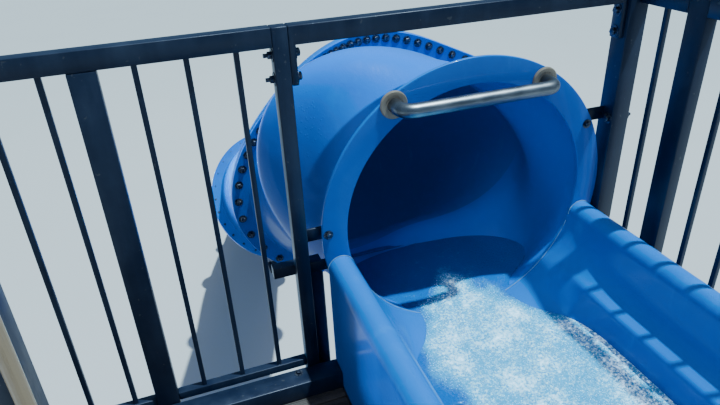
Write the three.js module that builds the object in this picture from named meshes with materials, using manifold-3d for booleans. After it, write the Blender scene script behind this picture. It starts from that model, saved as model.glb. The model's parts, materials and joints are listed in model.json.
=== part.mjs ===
// Water slide tower: a steel start platform with a stair and guards, a start tub,
// and an enclosed tube slide that runs down to a low exit trough.
// Units are millimetres, +Z is up, +Y is the way the slide leaves the platform.
// All pieces are laid out from the foot of post A, on the deck surface.
import * as THREE from 'three';
import { mergeVertices } from 'three/addons/utils/BufferGeometryUtils.js';
import Module from 'manifold-3d';

const wasm = await Module();
wasm.setup();
const { Manifold, Mesh: SolidMesh } = wasm;

// Platform sizes
const DECK_HEIGHT = 2750;
const DECK = { left: -840, right: 1060, rear: -1950, front: 19 };
const BOARD_THICK = 40;
const BOARD_PITCH = 140;
const GROOVE = 6;
const CHANNEL = { depth: 150, flange: 75, wall: 8 };
const COLUMN = 100;
const BASE_PLATE = { side: 220, thick: 15 };
const GAP = 0.3;

// Guard sizes
const RAIL_TOP = 1067;
const RAIL = { height: 45, width: 38 };
const LOW_RAIL = { bottom: 60, height: 25 };
const BALUSTER = 13;
const BALUSTER_PITCH = 110;
const POST = 38;
const WIDE_POST = 60;
const CORNER_POST = 100;
const OPENING_RIGHT = 962;
const GUARD_RIGHT = 1010;
const GUARD_LEFT = -770;
const GUARD_REAR = -1915;
const POST_C = -220;
const POST_L = -425;

// Slide sizes
const MOUTH = { x: 509, z: 484, inner: 375, outer: 448, thick: 12 };
const TUBE = { outer: 395, wall: 10, rimWidth: 65, flangeThick: 14, sides: 32, steps: 4 };
const ELBOW = {
  length: 450,
  wall: 18,
  swell: { at: 210, x: 431, z: 459, major: 560, minor: 385, turn: 137 },
  seam: { x: 446, z: 466, major: 525, minor: 357, turn: 3.5, lobe: 36, lobeTurn: 105 },
};
const TUB = {
  half: 437,
  length: 1150,
  rim: 420,
  roll: 38,
  wall: 12,
  floor: 112,
  ridge: { half: 290, z: 241 },
  settle: 340,
  seat: { height: 230, depth: 130 },
};

// Stair sizes
const STAIR = { risers: 14, going: 255, left: -700, right: 40, treadThick: 40, stringer: 12 };

const PAINT = { color: 0x1c2433, roughness: 0.5, metalness: 0.4 };
const BLUE = { color: 0x1268d6, roughness: 0.2, metalness: 0.0 };
const STEEL = { color: 0xb9bcbc, roughness: 0.25, metalness: 0.9 };
const TIMBER = { color: 0x4a423c, roughness: 0.8, metalness: 0.0 };
const BEIGE = { color: 0xb9a888, roughness: 0.4, metalness: 0.2 };

const platform = new THREE.Group();
const ease = THREE.MathUtils.smoothstep;
const { lerp } = THREE.MathUtils;

// Solids
function toSolid(geometry) {
  const bare = geometry.clone();
  bare.deleteAttribute('normal');
  bare.deleteAttribute('uv');
  const merged = mergeVertices(bare, 1e-3);
  return new Manifold(new SolidMesh({
    numProp: 3,
    vertProperties: new Float32Array(merged.attributes.position.array),
    triVerts: new Uint32Array(merged.index.array),
  }));
}

function toGeometry(solid) {
  const mesh = solid.getMesh();
  const geometry = new THREE.BufferGeometry();
  geometry.setAttribute('position', new THREE.BufferAttribute(mesh.vertProperties, 3));
  geometry.setIndex(new THREE.BufferAttribute(mesh.triVerts, 1));
  geometry.computeVertexNormals();
  return geometry;
}

function addPart(name, solid, finish) {
  const mesh = new THREE.Mesh(toGeometry(solid), new THREE.MeshStandardMaterial(finish));
  mesh.name = name;
  platform.add(mesh);
  return mesh;
}

function join(solids) {
  return solids.reduce((all, next) => all.add(next));
}

function box(x0, x1, y0, y1, z0, z1) {
  const geometry = new THREE.BoxGeometry(x1 - x0, y1 - y0, z1 - z0);
  geometry.translate((x0 + x1) / 2, (y0 + y1) / 2, (z0 + z1) / 2);
  return toSolid(geometry);
}

function shapeOf(points) {
  return new THREE.Shape(points.map(([u, v]) => new THREE.Vector2(u, v)));
}

// Profile in (Y, Z), extruded along X
function prismX(shape, x0, x1) {
  const geometry = new THREE.ExtrudeGeometry(shape, { depth: x1 - x0, bevelEnabled: false, curveSegments: 12 });
  geometry.applyMatrix4(new THREE.Matrix4().set(0, 0, 1, x0, 1, 0, 0, 0, 0, 1, 0, 0, 0, 0, 0, 1));
  return toSolid(geometry);
}

// Profile in (X, Z), extruded along Y
function prismY(shape, y0, y1, curveSegments = 12) {
  const geometry = new THREE.ExtrudeGeometry(shape, { depth: y1 - y0, bevelEnabled: false, curveSegments });
  geometry.applyMatrix4(new THREE.Matrix4().set(1, 0, 0, 0, 0, 0, -1, y1, 0, 1, 0, 0, 0, 0, 0, 1));
  return toSolid(geometry);
}

function ringShape(outer, inner) {
  const shape = new THREE.Shape();
  shape.absarc(0, 0, outer, 0, 2 * Math.PI, false);
  if (inner > 0) {
    const hole = new THREE.Path();
    hole.absarc(0, 0, inner, 0, 2 * Math.PI, true);
    shape.holes.push(hole);
  }
  return shape;
}

// Platform frame
function columnSolid(x, y, top) {
  const half = COLUMN / 2;
  const plate = BASE_PLATE.side / 2;
  return join([
    box(x - half, x + half, y - half, y + half, -DECK_HEIGHT + BASE_PLATE.thick / 2, top),
    box(x - plate, x + plate, y - plate, y + plate, -DECK_HEIGHT, -DECK_HEIGHT + BASE_PLATE.thick),
  ]);
}

function channelShape(outerEdge, side) {
  const { depth, flange, wall } = CHANNEL;
  const u = (value) => outerEdge + side * value;
  return shapeOf([
    [u(0), 0], [u(flange), 0], [u(flange), wall], [u(wall), wall],
    [u(wall), depth - wall], [u(flange), depth - wall], [u(flange), depth], [u(0), depth],
  ].map(([a, b]) => [a, b - BOARD_THICK - depth]));
}

function buildFrame() {
  const beamBottom = -BOARD_THICK - CHANNEL.depth - GAP;
  const columnX = { left: DECK.left + 75, right: DECK.right - 75 };
  const columnY = { rear: DECK.rear + 75, front: -30 };
  for (const [side, x] of Object.entries(columnX)) {
    for (const [end, y] of Object.entries(columnY)) {
      addPart(`column_${end}_${side}`, columnSolid(x, y, beamBottom), PAINT);
    }
  }
  const frontFace = 70;
  const frontInner = frontFace - CHANNEL.flange - GAP;
  const rearInner = DECK.rear + CHANNEL.flange + GAP;
  addPart('beam_front', prismX(channelShape(frontFace, -1), DECK.left, DECK.right), PAINT);
  addPart('beam_rear', prismX(channelShape(DECK.rear, 1), DECK.left, DECK.right), PAINT);
  addPart('beam_left', prismY(channelShape(DECK.left, 1), rearInner, frontInner), PAINT);
  addPart('beam_right', prismY(channelShape(DECK.right, -1), rearInner, frontInner), PAINT);
  const top = -BOARD_THICK - GAP;
  addPart('joist_middle', box(40, 100, rearInner, frontInner, top - 140, top), PAINT);
}

function braceSolid(x, yFoot, yHead) {
  const low = -DECK_HEIGHT + 260;
  const high = -BOARD_THICK - CHANNEL.depth - 120;
  const bar = (z0, z1) => {
    const run = yHead - yFoot;
    const length = Math.hypot(run, z1 - z0);
    const geometry = new THREE.BoxGeometry(10, length, 60);
    geometry.rotateX(Math.atan2(z1 - z0, run));
    geometry.translate(x, (yFoot + yHead) / 2, (z0 + z1) / 2);
    return toSolid(geometry);
  };
  const slab = box(x - 20, x + 20, yFoot, yHead, -DECK_HEIGHT, 0);
  return bar(low, high).add(bar(high, low)).intersect(slab);
}

function buildBraces() {
  const rear = DECK.rear + 75 + COLUMN / 2 + GAP;
  const front = -30 - COLUMN / 2 - GAP;
  addPart('brace_left', braceSolid(DECK.left + 75, rear, front), PAINT);
  addPart('brace_right', braceSolid(DECK.right - 75, rear, front), PAINT);
}

// Deck boards, joined side to side under shallow joints
function boardShape() {
  const points = [[DECK.rear, -BOARD_THICK], [DECK.front, -BOARD_THICK], [DECK.front, 0]];
  for (let y = DECK.front - BOARD_PITCH; y > DECK.rear + GROOVE; y -= BOARD_PITCH) {
    points.push([y + GROOVE, 0], [y + GROOVE, -10], [y, -10], [y, 0]);
  }
  points.push([DECK.rear, 0]);
  return shapeOf(points);
}

function buildDeck() {
  const seam = 70;
  addPart('deck_left', prismX(boardShape(), DECK.left, seam - GAP / 2), TIMBER);
  addPart('deck_right', prismX(boardShape(), seam + GAP / 2, DECK.right), TIMBER);
  const kerbLeft = GUARD_LEFT + CORNER_POST / 2 + GAP;
  addPart('kerb_front', box(kerbLeft, MOUTH.x - TUB.half - 1, -84, -POST / 2 - GAP, GAP, 60), PAINT);
  const inner = GUARD_LEFT + CORNER_POST / 2 + GAP;
  const rear = GUARD_REAR + WIDE_POST;
  addPart('kerb_left', box(inner, inner + 20, rear, -130, GAP, 60), PAINT);
}

// Guards: a top rail, a low rail and square balusters, laid along X then turned
function panelSolid(length, balusters, topFrom = 0, topTo = length) {
  const half = BALUSTER / 2;
  const lowHalf = LOW_RAIL.height / 2;
  const railBottom = RAIL_TOP - RAIL.height;
  const lowTop = LOW_RAIL.bottom + LOW_RAIL.height;
  const solids = [
    box(topFrom, topTo, -RAIL.width / 2, RAIL.width / 2, railBottom, RAIL_TOP),
    box(0, length, -lowHalf, lowHalf, LOW_RAIL.bottom, lowTop),
  ];
  for (const x of balusters) {
    solids.push(box(x - half, x + half, -half, half, lowTop - 5, railBottom + 5));
  }
  return join(solids);
}

function spaced(first, count, pitch = BALUSTER_PITCH) {
  return Array.from({ length: count }, (_, index) => first + index * pitch);
}

function evenly(length) {
  const count = Math.max(1, Math.round(length / BALUSTER_PITCH) - 1);
  const pitch = length / (count + 1);
  return spaced(pitch, count, pitch);
}

function postBox(x, y, width, depth, top = RAIL_TOP) {
  return box(x - width / 2, x + width / 2, y - depth / 2, y + depth / 2, GAP, top);
}

function buildPosts() {
  const railBottom = RAIL_TOP - RAIL.height - GAP;
  addPart('post_a', postBox(0, 0, POST, POST), PAINT);
  addPart('post_l', postBox(POST_L, 0, WIDE_POST, POST, railBottom), PAINT);
  addPart('post_b', postBox(OPENING_RIGHT + WIDE_POST / 2, 0, WIDE_POST, WIDE_POST), PAINT);
  addPart('post_c', postBox(GUARD_RIGHT, POST_C, POST, WIDE_POST), PAINT);
  addPart('post_front_left', postBox(GUARD_LEFT, -CORNER_POST / 2 + POST / 2, CORNER_POST, CORNER_POST), PAINT);
  addPart('post_middle_left', postBox(GUARD_LEFT, -960, POST, WIDE_POST), PAINT);
  addPart('post_rear_left', postBox(GUARD_LEFT, GUARD_REAR, WIDE_POST, WIDE_POST), PAINT);
  addPart('post_stair', postBox(STAIR.right + 60, GUARD_REAR, WIDE_POST, WIDE_POST), PAINT);
  addPart('post_rear_right', postBox(GUARD_RIGHT, GUARD_REAR, WIDE_POST, WIDE_POST), PAINT);
}

function buildFrontGuard() {
  const start = GUARD_LEFT + CORNER_POST / 2 + GAP;
  const end = -POST / 2 - GAP;
  const first = 10 - BALUSTER_PITCH;
  const inner = spaced(first - 2 * BALUSTER_PITCH, 3);
  const outer = [POST_L - 85 - BALUSTER_PITCH, POST_L - 85];
  const across = [...outer, ...inner].map((x) => x - start);
  const whole = panelSolid(end - start, across);
  const notch = WIDE_POST / 2 + GAP;
  const cut = box(POST_L - notch - start, POST_L + notch - start, -50, 50, -10, RAIL_TOP - RAIL.height - 0.01);
  const panel = addPart('guard_front', whole.subtract(cut), PAINT);
  panel.position.x = start;
}

function sideGuard(name, x, from, to, balusters) {
  const panel = addPart(name, panelSolid(to - from, balusters.map((y) => y - from)), PAINT);
  panel.rotation.z = Math.PI / 2;
  panel.position.set(x, from, 0);
}

function buildGuards() {
  buildFrontGuard();
  const wide = WIDE_POST / 2 + GAP;
  const behindC = POST_C - wide;
  sideGuard('guard_right_front', GUARD_RIGHT, POST_C + wide, -wide, [-BALUSTER_PITCH]);
  const rightCount = Math.floor((behindC - GUARD_REAR - wide) / BALUSTER_PITCH);
  const rightRow = spaced(POST_C - BALUSTER_PITCH * rightCount, rightCount);
  sideGuard('guard_right_rear', GUARD_RIGHT, GUARD_REAR + wide, behindC, rightRow);
  const leftParts = [
    ['guard_left_front', -960 + wide, -CORNER_POST + POST / 2 - GAP],
    ['guard_left_rear', GUARD_REAR + wide, -960 - wide],
  ];
  for (const [name, from, to] of leftParts) {
    sideGuard(name, GUARD_LEFT, from, to, evenly(to - from).map((y) => y + from));
  }
  const rearFrom = STAIR.right + 60 + wide;
  const rearTo = GUARD_RIGHT - wide;
  const rear = addPart('guard_rear', panelSolid(rearTo - rearFrom, evenly(rearTo - rearFrom)), PAINT);
  rear.position.set(rearFrom, GUARD_REAR, 0);
}

// Rail over the slide mouth, hung between posts A and B on end plates
function buildHeader() {
  const left = POST / 2 + GAP;
  const right = OPENING_RIGHT - GAP;
  const half = RAIL.width / 2;
  const bottom = RAIL_TOP - RAIL.height;
  addPart('header_rail', join([
    box(left, right, -half, half, bottom, RAIL_TOP),
    box(left, left + 16, -half, half, bottom - 95, bottom + 5),
    box(right - 16, right, -half, half, bottom - 95, bottom + 5),
  ]), PAINT);
}

function buildCornerPipe() {
  const geometry = new THREE.CylinderGeometry(21, 21, RAIL_TOP - 120, 16);
  geometry.rotateX(Math.PI / 2);
  geometry.translate(GUARD_LEFT + 42, -106, (RAIL_TOP - 120) / 2 + GAP);
  addPart('corner_pipe', toSolid(geometry), BEIGE);
}

// Start tub: a moulded shell, open below, with rolled rims. Its section is round at
// the mouth and settles behind it to a flat channel with a ledge along each side.
// Half sections run from the middle outwards.
function roundHalf(inset) {
  const path = new THREE.Path();
  const edge = Math.asin((TUB.half - 2 * TUB.roll) / MOUTH.inner);
  path.absarc(0, MOUTH.z, MOUTH.inner + inset, -Math.PI / 2, edge - Math.PI / 2, false);
  return path;
}

function channelHalf(inset) {
  const { floor, ridge } = TUB;
  const face = ridge.half + inset;
  const wall = TUB.half - 2 * TUB.roll + inset;
  const path = new THREE.Path();
  path.moveTo(0, floor - inset);
  path.lineTo(face - 40, floor - inset);
  path.quadraticCurveTo(face - 4, floor - inset, face - 4, floor + 38);
  path.lineTo(face, ridge.z - 14 - inset);
  path.quadraticCurveTo(face, ridge.z - inset, face + 12, ridge.z + 3 - inset);
  path.quadraticCurveTo(wall, ridge.z + 24 - inset, wall, ridge.z + 90);
  path.lineTo(wall, TUB.rim - TUB.roll);
  return path;
}

function rollPoints(radius, from, to) {
  const middle = TUB.half - TUB.roll;
  return spaced(1, 5, 1).map((step) => {
    const angle = lerp(from, to, step / 6);
    return new THREE.Vector2(middle + radius * Math.cos(angle), TUB.rim - TUB.roll + radius * Math.sin(angle));
  });
}

function tubSkin(half, inset = 0) {
  const shoulder = new THREE.Vector2(TUB.half - inset, TUB.rim - TUB.roll);
  const foot = new THREE.Vector2(TUB.half - inset, GAP + inset);
  return [...half(inset).getSpacedPoints(22), ...rollPoints(TUB.roll - inset, Math.PI, 0), shoulder, foot];
}

function tubUnderside(half) {
  const edge = TUB.half - TUB.wall;
  const shoulder = new THREE.Vector2(edge, TUB.rim - TUB.roll);
  const foot = new THREE.Vector2(edge, GAP);
  const under = half(TUB.wall).getSpacedPoints(22).reverse();
  return [foot, shoulder, ...rollPoints(TUB.roll - TUB.wall, 0, Math.PI), ...under];
}

function mirrored(points) {
  return points.map(({ x, y }) => new THREE.Vector2(-x, y)).reverse();
}

function tubLoop(half) {
  const under = tubUnderside(half);
  const skin = tubSkin(half);
  return [...skin, ...under, ...mirrored(under.slice(0, -1)), ...mirrored(skin.slice(1))];
}

function tubShell(front, rear) {
  const steps = 8;
  const overrun = 5;
  const channel = tubLoop(channelHalf);
  const round = tubLoop(roundHalf);
  const key = (x, z) => `${x.toFixed(2)} ${z.toFixed(2)}`;
  const partner = new Map(channel.map((point, index) => [key(point.x, point.y), round[index]]));
  const geometry = new THREE.ExtrudeGeometry(new THREE.Shape(channel), { depth: steps, steps, bevelEnabled: false });
  const position = geometry.attributes.position;
  for (let index = 0; index < position.count; index += 1) {
    const x = position.getX(index);
    const z = position.getY(index);
    const level = Math.round(position.getZ(index));
    const target = partner.get(key(x, z));
    const share = 1 - ease(level, 0, steps - 1);
    const y = level === steps ? rear - overrun : front + overrun - (level * TUB.settle) / (steps - 1);
    position.setXYZ(index, MOUTH.x + lerp(x, target.x, share), y, lerp(z, target.y, share));
  }
  return toSolid(geometry).intersect(box(0, 1100, rear, front, 0, 900));
}

function buildTub() {
  const front = -MOUTH.thick - GAP;
  const rear = front - TUB.length;
  const { wall, seat, floor, ridge } = TUB;
  const skin = tubSkin(channelHalf, wall / 2);
  const outline = new THREE.Shape([...skin, ...mirrored(skin.slice(1))]);
  const end = rear + 2;
  const inside = end + wall;
  const edge = end + seat.depth;
  const left = MOUTH.x - ridge.half - wall / 2;
  const right = MOUTH.x + ridge.half + wall / 2;
  const low = floor - wall / 2;
  const underSeat = box(left + 40, right - 40, inside, edge - wall, 0, floor + 30);
  addPart('start_tub', join([
    tubShell(front, rear).subtract(underSeat),
    prismY(outline, end, inside).translate([MOUTH.x, 0, 0]),
    box(left, right, end, inside, low, seat.height),
    box(left, right, end, edge, seat.height - wall, seat.height),
    box(left, right, edge - wall, edge, low, seat.height),
  ]), BLUE);
}

// Round mouth plate between the tub and the tube
function buildMouth() {
  const geometry = new THREE.ExtrudeGeometry(ringShape(MOUTH.outer, MOUTH.inner), {
    depth: MOUTH.thick, bevelEnabled: false, curveSegments: 20,
  });
  geometry.rotateX(Math.PI / 2);
  geometry.translate(MOUTH.x, 0, MOUTH.z);
  addPart('mouth_ring', toSolid(geometry), BLUE);
}

function buildGrabBar() {
  const bar = { left: 275, right: 722, z: 840, out: 64, radius: 19, bend: 40 };
  const face = -MOUTH.thick - GAP;
  const path = new THREE.CurvePath();
  const at = (x, y) => new THREE.Vector3(x, y, bar.z);
  const far = face - bar.out;
  path.add(new THREE.LineCurve3(at(bar.left, face - 4), at(bar.left, far + bar.bend)));
  path.add(new THREE.QuadraticBezierCurve3(at(bar.left, far + bar.bend), at(bar.left, far), at(bar.left + bar.bend, far)));
  path.add(new THREE.LineCurve3(at(bar.left + bar.bend, far), at(bar.right - bar.bend, far)));
  path.add(new THREE.QuadraticBezierCurve3(at(bar.right - bar.bend, far), at(bar.right, far), at(bar.right, far + bar.bend)));
  path.add(new THREE.LineCurve3(at(bar.right, far + bar.bend), at(bar.right, face - 4)));
  const tube = new THREE.ExtrudeGeometry(ringShape(bar.radius, 0), { extrudePath: path, steps: 24, curveSegments: 5 });
  const solids = [toSolid(tube)];
  for (const x of [bar.left, bar.right]) {
    const plate = new THREE.CylinderGeometry(38, 38, 8, 16);
    plate.translate(x, face - 4, bar.z);
    solids.push(toSolid(plate));
  }
  addPart('grab_bar', join(solids), STEEL);
}

// Flat bars and legs that carry the mouth of the tube
function buildMouthSupports() {
  const back = 10 + 2 * GAP;
  const plate = 8;
  addPart('mouth_bracket_left', box(POST / 2 + GAP, 84, back, back + plate, 474, 514), PAINT);
  addPart('mouth_bracket_right', box(880, OPENING_RIGHT - GAP, back, back + plate, 680, 720), PAINT);
  const foot = -BOARD_THICK + GAP;
  const behindA = POST / 2 + GAP;
  addPart('mouth_leg_left', join([
    box(10, 60, behindA, behindA + 30, foot, 380),
    box(-78, 60, behindA, behindA + 30, 372, 405),
    box(behindA, 92, back, back + plate, 372, 405),
    box(behindA, 60, back, behindA + 5, 372, 405),
  ]), PAINT);
  const behindB = WIDE_POST / 2 + GAP;
  addPart('mouth_leg_right', join([
    box(970, 1015, behindB, behindB + 30, foot, 370),
    box(930, 1015, behindB, behindB + 30, 330, 370),
    box(908, 950, back, behindB + 5, 330, 370),
  ]), PAINT);
}

// Tube sections: a turned shell with a flange at each end, bent along a curve
function sectionCurve(from, to) {
  const reach = from.point.distanceTo(to.point) / 3;
  return new THREE.CubicBezierCurve3(
    from.point,
    from.point.clone().addScaledVector(from.direction, reach),
    to.point.clone().addScaledVector(to.direction, -reach),
    to.point,
  );
}

// Radius of an oval at an angle in its plane, all angles from +X towards +Z.
// A lobe swells it in three directions and draws it in between them.
function ovalRadius({ major, minor, turn, lobe = 0, lobeTurn = 0 }, angle) {
  const local = angle - THREE.MathUtils.degToRad(turn);
  const swell = lobe * Math.cos(3 * (angle - THREE.MathUtils.degToRad(lobeTurn)));
  return swell + 1 / Math.hypot(Math.cos(local) / major, Math.sin(local) / minor);
}

// Profile points are [offset from the outer skin, distance along the curve].
// skin(angle, t) gives the radius of the outer skin.
function bentLathe(profile, curve, skin) {
  const length = curve.getLength();
  const core = 1000;
  const outline = profile.map(([offset, along]) => new THREE.Vector2(offset === null ? 0 : core + offset, along));
  const geometry = new THREE.LatheGeometry(outline, TUBE.sides);
  const position = geometry.attributes.position;
  const upright = new THREE.Vector3(0, 0, 1);
  for (let index = 0; index < position.count; index += 1) {
    const x = position.getX(index);
    const z = position.getZ(index);
    const t = THREE.MathUtils.clamp(position.getY(index) / length, 0, 1);
    const angle = Math.atan2(z, x);
    const distance = Math.hypot(x, z);
    const radius = distance < 1 ? 0 : distance - core + skin(angle, t);
    const forward = curve.getTangentAt(t);
    const side = new THREE.Vector3().crossVectors(forward, upright).normalize();
    const up = new THREE.Vector3().crossVectors(side, forward);
    const point = curve.getPointAt(t)
      .addScaledVector(side, radius * Math.cos(angle))
      .addScaledVector(up, radius * Math.sin(angle));
    position.setXYZ(index, point.x, point.y, point.z);
  }
  return toSolid(geometry);
}

function joint(x, y, z, yawDegrees, fallDegrees) {
  const yaw = THREE.MathUtils.degToRad(yawDegrees);
  const fall = THREE.MathUtils.degToRad(fallDegrees);
  return {
    point: new THREE.Vector3(x, y, z),
    direction: new THREE.Vector3(
      Math.sin(yaw) * Math.cos(fall), Math.cos(yaw) * Math.cos(fall), -Math.sin(fall)),
  };
}

const JOINTS = [
  joint(ELBOW.seam.x, ELBOW.length, ELBOW.seam.z, 0, 0),
  joint(495, 1230, 0, -4, 40),
  joint(370, 2400, -610, -7, 38),
  joint(460, 3300, -1100, 6, 25),
  joint(580, 4300, -1520, 11, 24),
  joint(735, 5000, -1815, 15, 20),
  joint(930, 5700, -1980, 20, 0),
];

const roundSkin = () => TUBE.outer;
const seamSkin = (angle, t) => lerp(ovalRadius(ELBOW.seam, angle), TUBE.outer, ease(t, 0, 1));
const SECTIONS = spaced(1, 6, 1).map((number, index) => ({
  name: `tube_section_${number}`,
  curve: sectionCurve(JOINTS[index], JOINTS[index + 1]),
  skin: index === 0 ? seamSkin : roundSkin,
}));

function flangedProfile(length, steps) {
  const { wall, rimWidth, flangeThick } = TUBE;
  const end = length - GAP / 2;
  const start = GAP / 2;
  const between = spaced(1, steps - 1, 1).map((step) => (step * length) / steps);
  return [
    [-wall, start], [rimWidth, start], [rimWidth, start + flangeThick], [0, start + flangeThick],
    ...between.map((along) => [0, along]),
    [0, end - flangeThick], [rimWidth, end - flangeThick], [rimWidth, end], [-wall, end],
    ...between.reverse().map((along) => [-wall, along]),
    [-wall, start],
  ];
}

function buildTubes() {
  for (const { name, curve, skin } of SECTIONS) {
    addPart(name, bentLathe(flangedProfile(curve.getLength(), TUBE.steps), curve, skin), BLUE);
  }
}

// Entry elbow: a bulging shell from the round mouth to the oval seam on its left,
// with upright rings all along so that it clears the posts
function elbowRing(y, angle) {
  const { swell, seam, length } = ELBOW;
  const mouth = MOUTH.inner + 30;
  const first = ease(y, 0, swell.at);
  const second = ease(y, swell.at, length);
  const swollen = lerp(mouth, ovalRadius(swell, angle), first);
  return {
    radius: lerp(swollen, ovalRadius(seam, angle), second),
    x: lerp(lerp(MOUTH.x, swell.x, first), seam.x, second),
    z: lerp(lerp(MOUTH.z, swell.z, first), seam.z, second),
  };
}

function buildEntryElbow() {
  const { rimWidth, flangeThick } = TUBE;
  const { wall } = ELBOW;
  const core = 1000;
  const end = ELBOW.length - GAP / 2;
  const rows = [45, 80, 115, 155, 210, 270, 330, 385];
  const profile = [
    [-18, GAP], [35, GAP], [35, 10], [0, 10], ...rows.map((y) => [0, y]),
    [0, end - flangeThick], [rimWidth, end - flangeThick], [rimWidth, end], [-wall, end],
    ...rows.map((y) => [-wall, y]).reverse(), [-18, GAP],
  ];
  const geometry = new THREE.LatheGeometry(profile.map(([r, y]) => new THREE.Vector2(core + r, y)), TUBE.sides);
  const position = geometry.attributes.position;
  for (let index = 0; index < position.count; index += 1) {
    const angle = Math.atan2(position.getZ(index), position.getX(index));
    const offset = Math.hypot(position.getX(index), position.getZ(index)) - core;
    const ring = elbowRing(position.getY(index), angle);
    position.setX(index, ring.x + (ring.radius + offset) * Math.cos(angle));
    position.setZ(index, ring.z + (ring.radius + offset) * Math.sin(angle));
  }
  addPart('entry_elbow', toSolid(geometry), BLUE);
}

// Exit trough: an open half round with flat lips, level above the water
function halfRound(outer, inner, lip, side, wall) {
  const shape = new THREE.Shape();
  shape.moveTo(-outer - lip, side);
  shape.lineTo(-outer - lip, side - wall);
  if (lip > 0) {
    shape.lineTo(-outer, side - wall);
  }
  shape.absarc(0, 0, outer, Math.PI, 2 * Math.PI, false);
  if (lip > 0) {
    shape.lineTo(outer, side - wall);
  }
  shape.lineTo(outer + lip, side - wall);
  shape.lineTo(outer + lip, side);
  shape.lineTo(inner, side);
  shape.absarc(0, 0, inner, 2 * Math.PI, Math.PI, true);
  shape.lineTo(-inner, side);
  shape.closePath();
  return shape;
}

function buildExit() {
  const { outer, wall, rimWidth, flangeThick, sides } = TUBE;
  const exit = { side: 90, lip: 46, length: 1200 };
  const trough = halfRound(outer, outer - wall, exit.lip, exit.side, wall);
  const collar = halfRound(outer + rimWidth, outer - wall / 2, 0, exit.side - 4, wall);
  const body = prismY(trough, GAP / 2, exit.length, sides / 4);
  const mesh = addPart('exit_trough', body.add(prismY(collar, GAP / 2, flangeThick, sides / 4)), BLUE);
  const last = JOINTS[JOINTS.length - 1];
  mesh.position.copy(last.point);
  mesh.rotation.z = -Math.atan2(last.direction.x, last.direction.y);
}

// Slide supports: base plate, column and a saddle cut to the shell
function supportSolid(curve, skin, t, steps) {
  const centre = curve.getPointAt(t);
  const tangent = curve.getTangentAt(t);
  const length = curve.getLength();
  const edge = spaced(0, steps + 1, length / steps).map((along) => [GAP, along]);
  const envelope = bentLathe([[null, 0], ...edge, [null, length]], curve, skin);
  const bottom = centre.z - skin(-Math.PI / 2, t) / Math.hypot(tangent.x, tangent.y);
  const saddle = box(centre.x - 220, centre.x + 220, centre.y - 40, centre.y + 40, bottom - 60, bottom + 130);
  return join([saddle, columnSolid(centre.x, centre.y, bottom - 50)]).subtract(envelope);
}

function buildSupports() {
  const last = JOINTS[JOINTS.length - 1];
  const exit = new THREE.LineCurve3(last.point, last.point.clone().addScaledVector(last.direction, 1200));
  const places = [[0, 0.14], [1, 0.5], [4, 0.5]];
  places.forEach(([section, place], index) => {
    const { curve, skin } = SECTIONS[section];
    addPart(`slide_support_${index + 1}`, supportSolid(curve, skin, place, TUBE.steps), PAINT);
  });
  addPart('slide_support_4', supportSolid(exit, roundSkin, 0.65, 1), PAINT);
}

// Stair: two stringers with treads between, from the rear beam down to the ground
function stairLine() {
  const rise = DECK_HEIGHT / STAIR.risers;
  const top = DECK.rear - GAP;
  return { rise, top, run: STAIR.going * (STAIR.risers - 1) };
}

function buildStair() {
  const { rise, top, run } = stairLine();
  const slope = rise / STAIR.going;
  const deep = 300;
  const points = [[top, -45], [top - 60, -45]];
  for (let step = 1; step < STAIR.risers; step += 1) {
    const z = -step * rise - STAIR.treadThick / 2;
    points.push([step === 1 ? top - 60 : top - (step - 1) * STAIR.going, z], [top - step * STAIR.going, z]);
  }
  points.push([top - run, -DECK_HEIGHT], [top - (DECK_HEIGHT - rise - deep) / slope, -DECK_HEIGHT]);
  points.push([top, -rise - deep]);
  const stringer = shapeOf(points);
  const solids = [
    prismX(stringer, STAIR.left, STAIR.left + STAIR.stringer),
    prismX(stringer, STAIR.right - STAIR.stringer, STAIR.right),
  ];
  for (let step = 1; step < STAIR.risers; step += 1) {
    const z = -step * rise;
    const y = top - step * STAIR.going;
    solids.push(box(STAIR.left + 6, STAIR.right - 6, y, y + STAIR.going + 20, z - STAIR.treadThick, z)
      .intersect(box(STAIR.left, STAIR.right, y, top, -DECK_HEIGHT, 0)));
  }
  addPart('stair_flight', join(solids), PAINT);
}

function stairGuard(name, x) {
  const { rise, top, run } = stairLine();
  const slope = rise / STAIR.going;
  const foot = top - run;
  const strip = (low, high) => prismX(shapeOf([
    [top - 2, low], [top - 2, high], [foot, high - slope * (top - foot)], [foot, low - slope * (top - foot)],
  ]), x - 19, x + 19);
  const solids = [strip(RAIL_TOP - 145, RAIL_TOP - 100), strip(120, 150)];
  const count = 2 * Math.floor(run / 300);
  for (let index = 0; index <= count; index += 1) {
    const y = top - 20 - index * (run - 40) / count;
    const level = -slope * (top - y);
    const post = index % (count / 2) === 0;
    const half = post ? POST / 2 : BALUSTER / 2;
    const low = post ? Math.max(level - rise - 60, 30 - DECK_HEIGHT) : level + 135;
    solids.push(box(x - half, x + half, y - half, y + half, low, level + RAIL_TOP - 122));
  }
  addPart(name, join(solids), PAINT);
}

function buildStairGuards() {
  stairGuard('stair_guard_left', STAIR.left - 19 - GAP);
  stairGuard('stair_guard_right', STAIR.right + 19 + GAP);
}

buildFrame();
buildBraces();
buildDeck();
buildPosts();
buildGuards();
buildHeader();
buildCornerPipe();
buildTub();
buildMouth();
buildGrabBar();
buildMouthSupports();
buildEntryElbow();
buildTubes();
buildExit();
buildSupports();
buildStair();
buildStairGuards();

// Origin under the middle of the whole, on the ground
const extent = new THREE.Box3().setFromObject(platform);
const middle = extent.getCenter(new THREE.Vector3());
platform.position.set(-middle.x, -middle.y, DECK_HEIGHT);
const tower = new THREE.Group();
tower.add(platform);

export default tower;
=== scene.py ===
"""Water slide tower: moulded shells, steelwork, boards, fasteners, water and a plain studio.

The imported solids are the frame. Lengths are metres. Sizes held by the classes are measured
from the foot of post A on the deck, with +Y the way the slide leaves the platform, and
Datum turns them into the part's own frame.
"""

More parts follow.
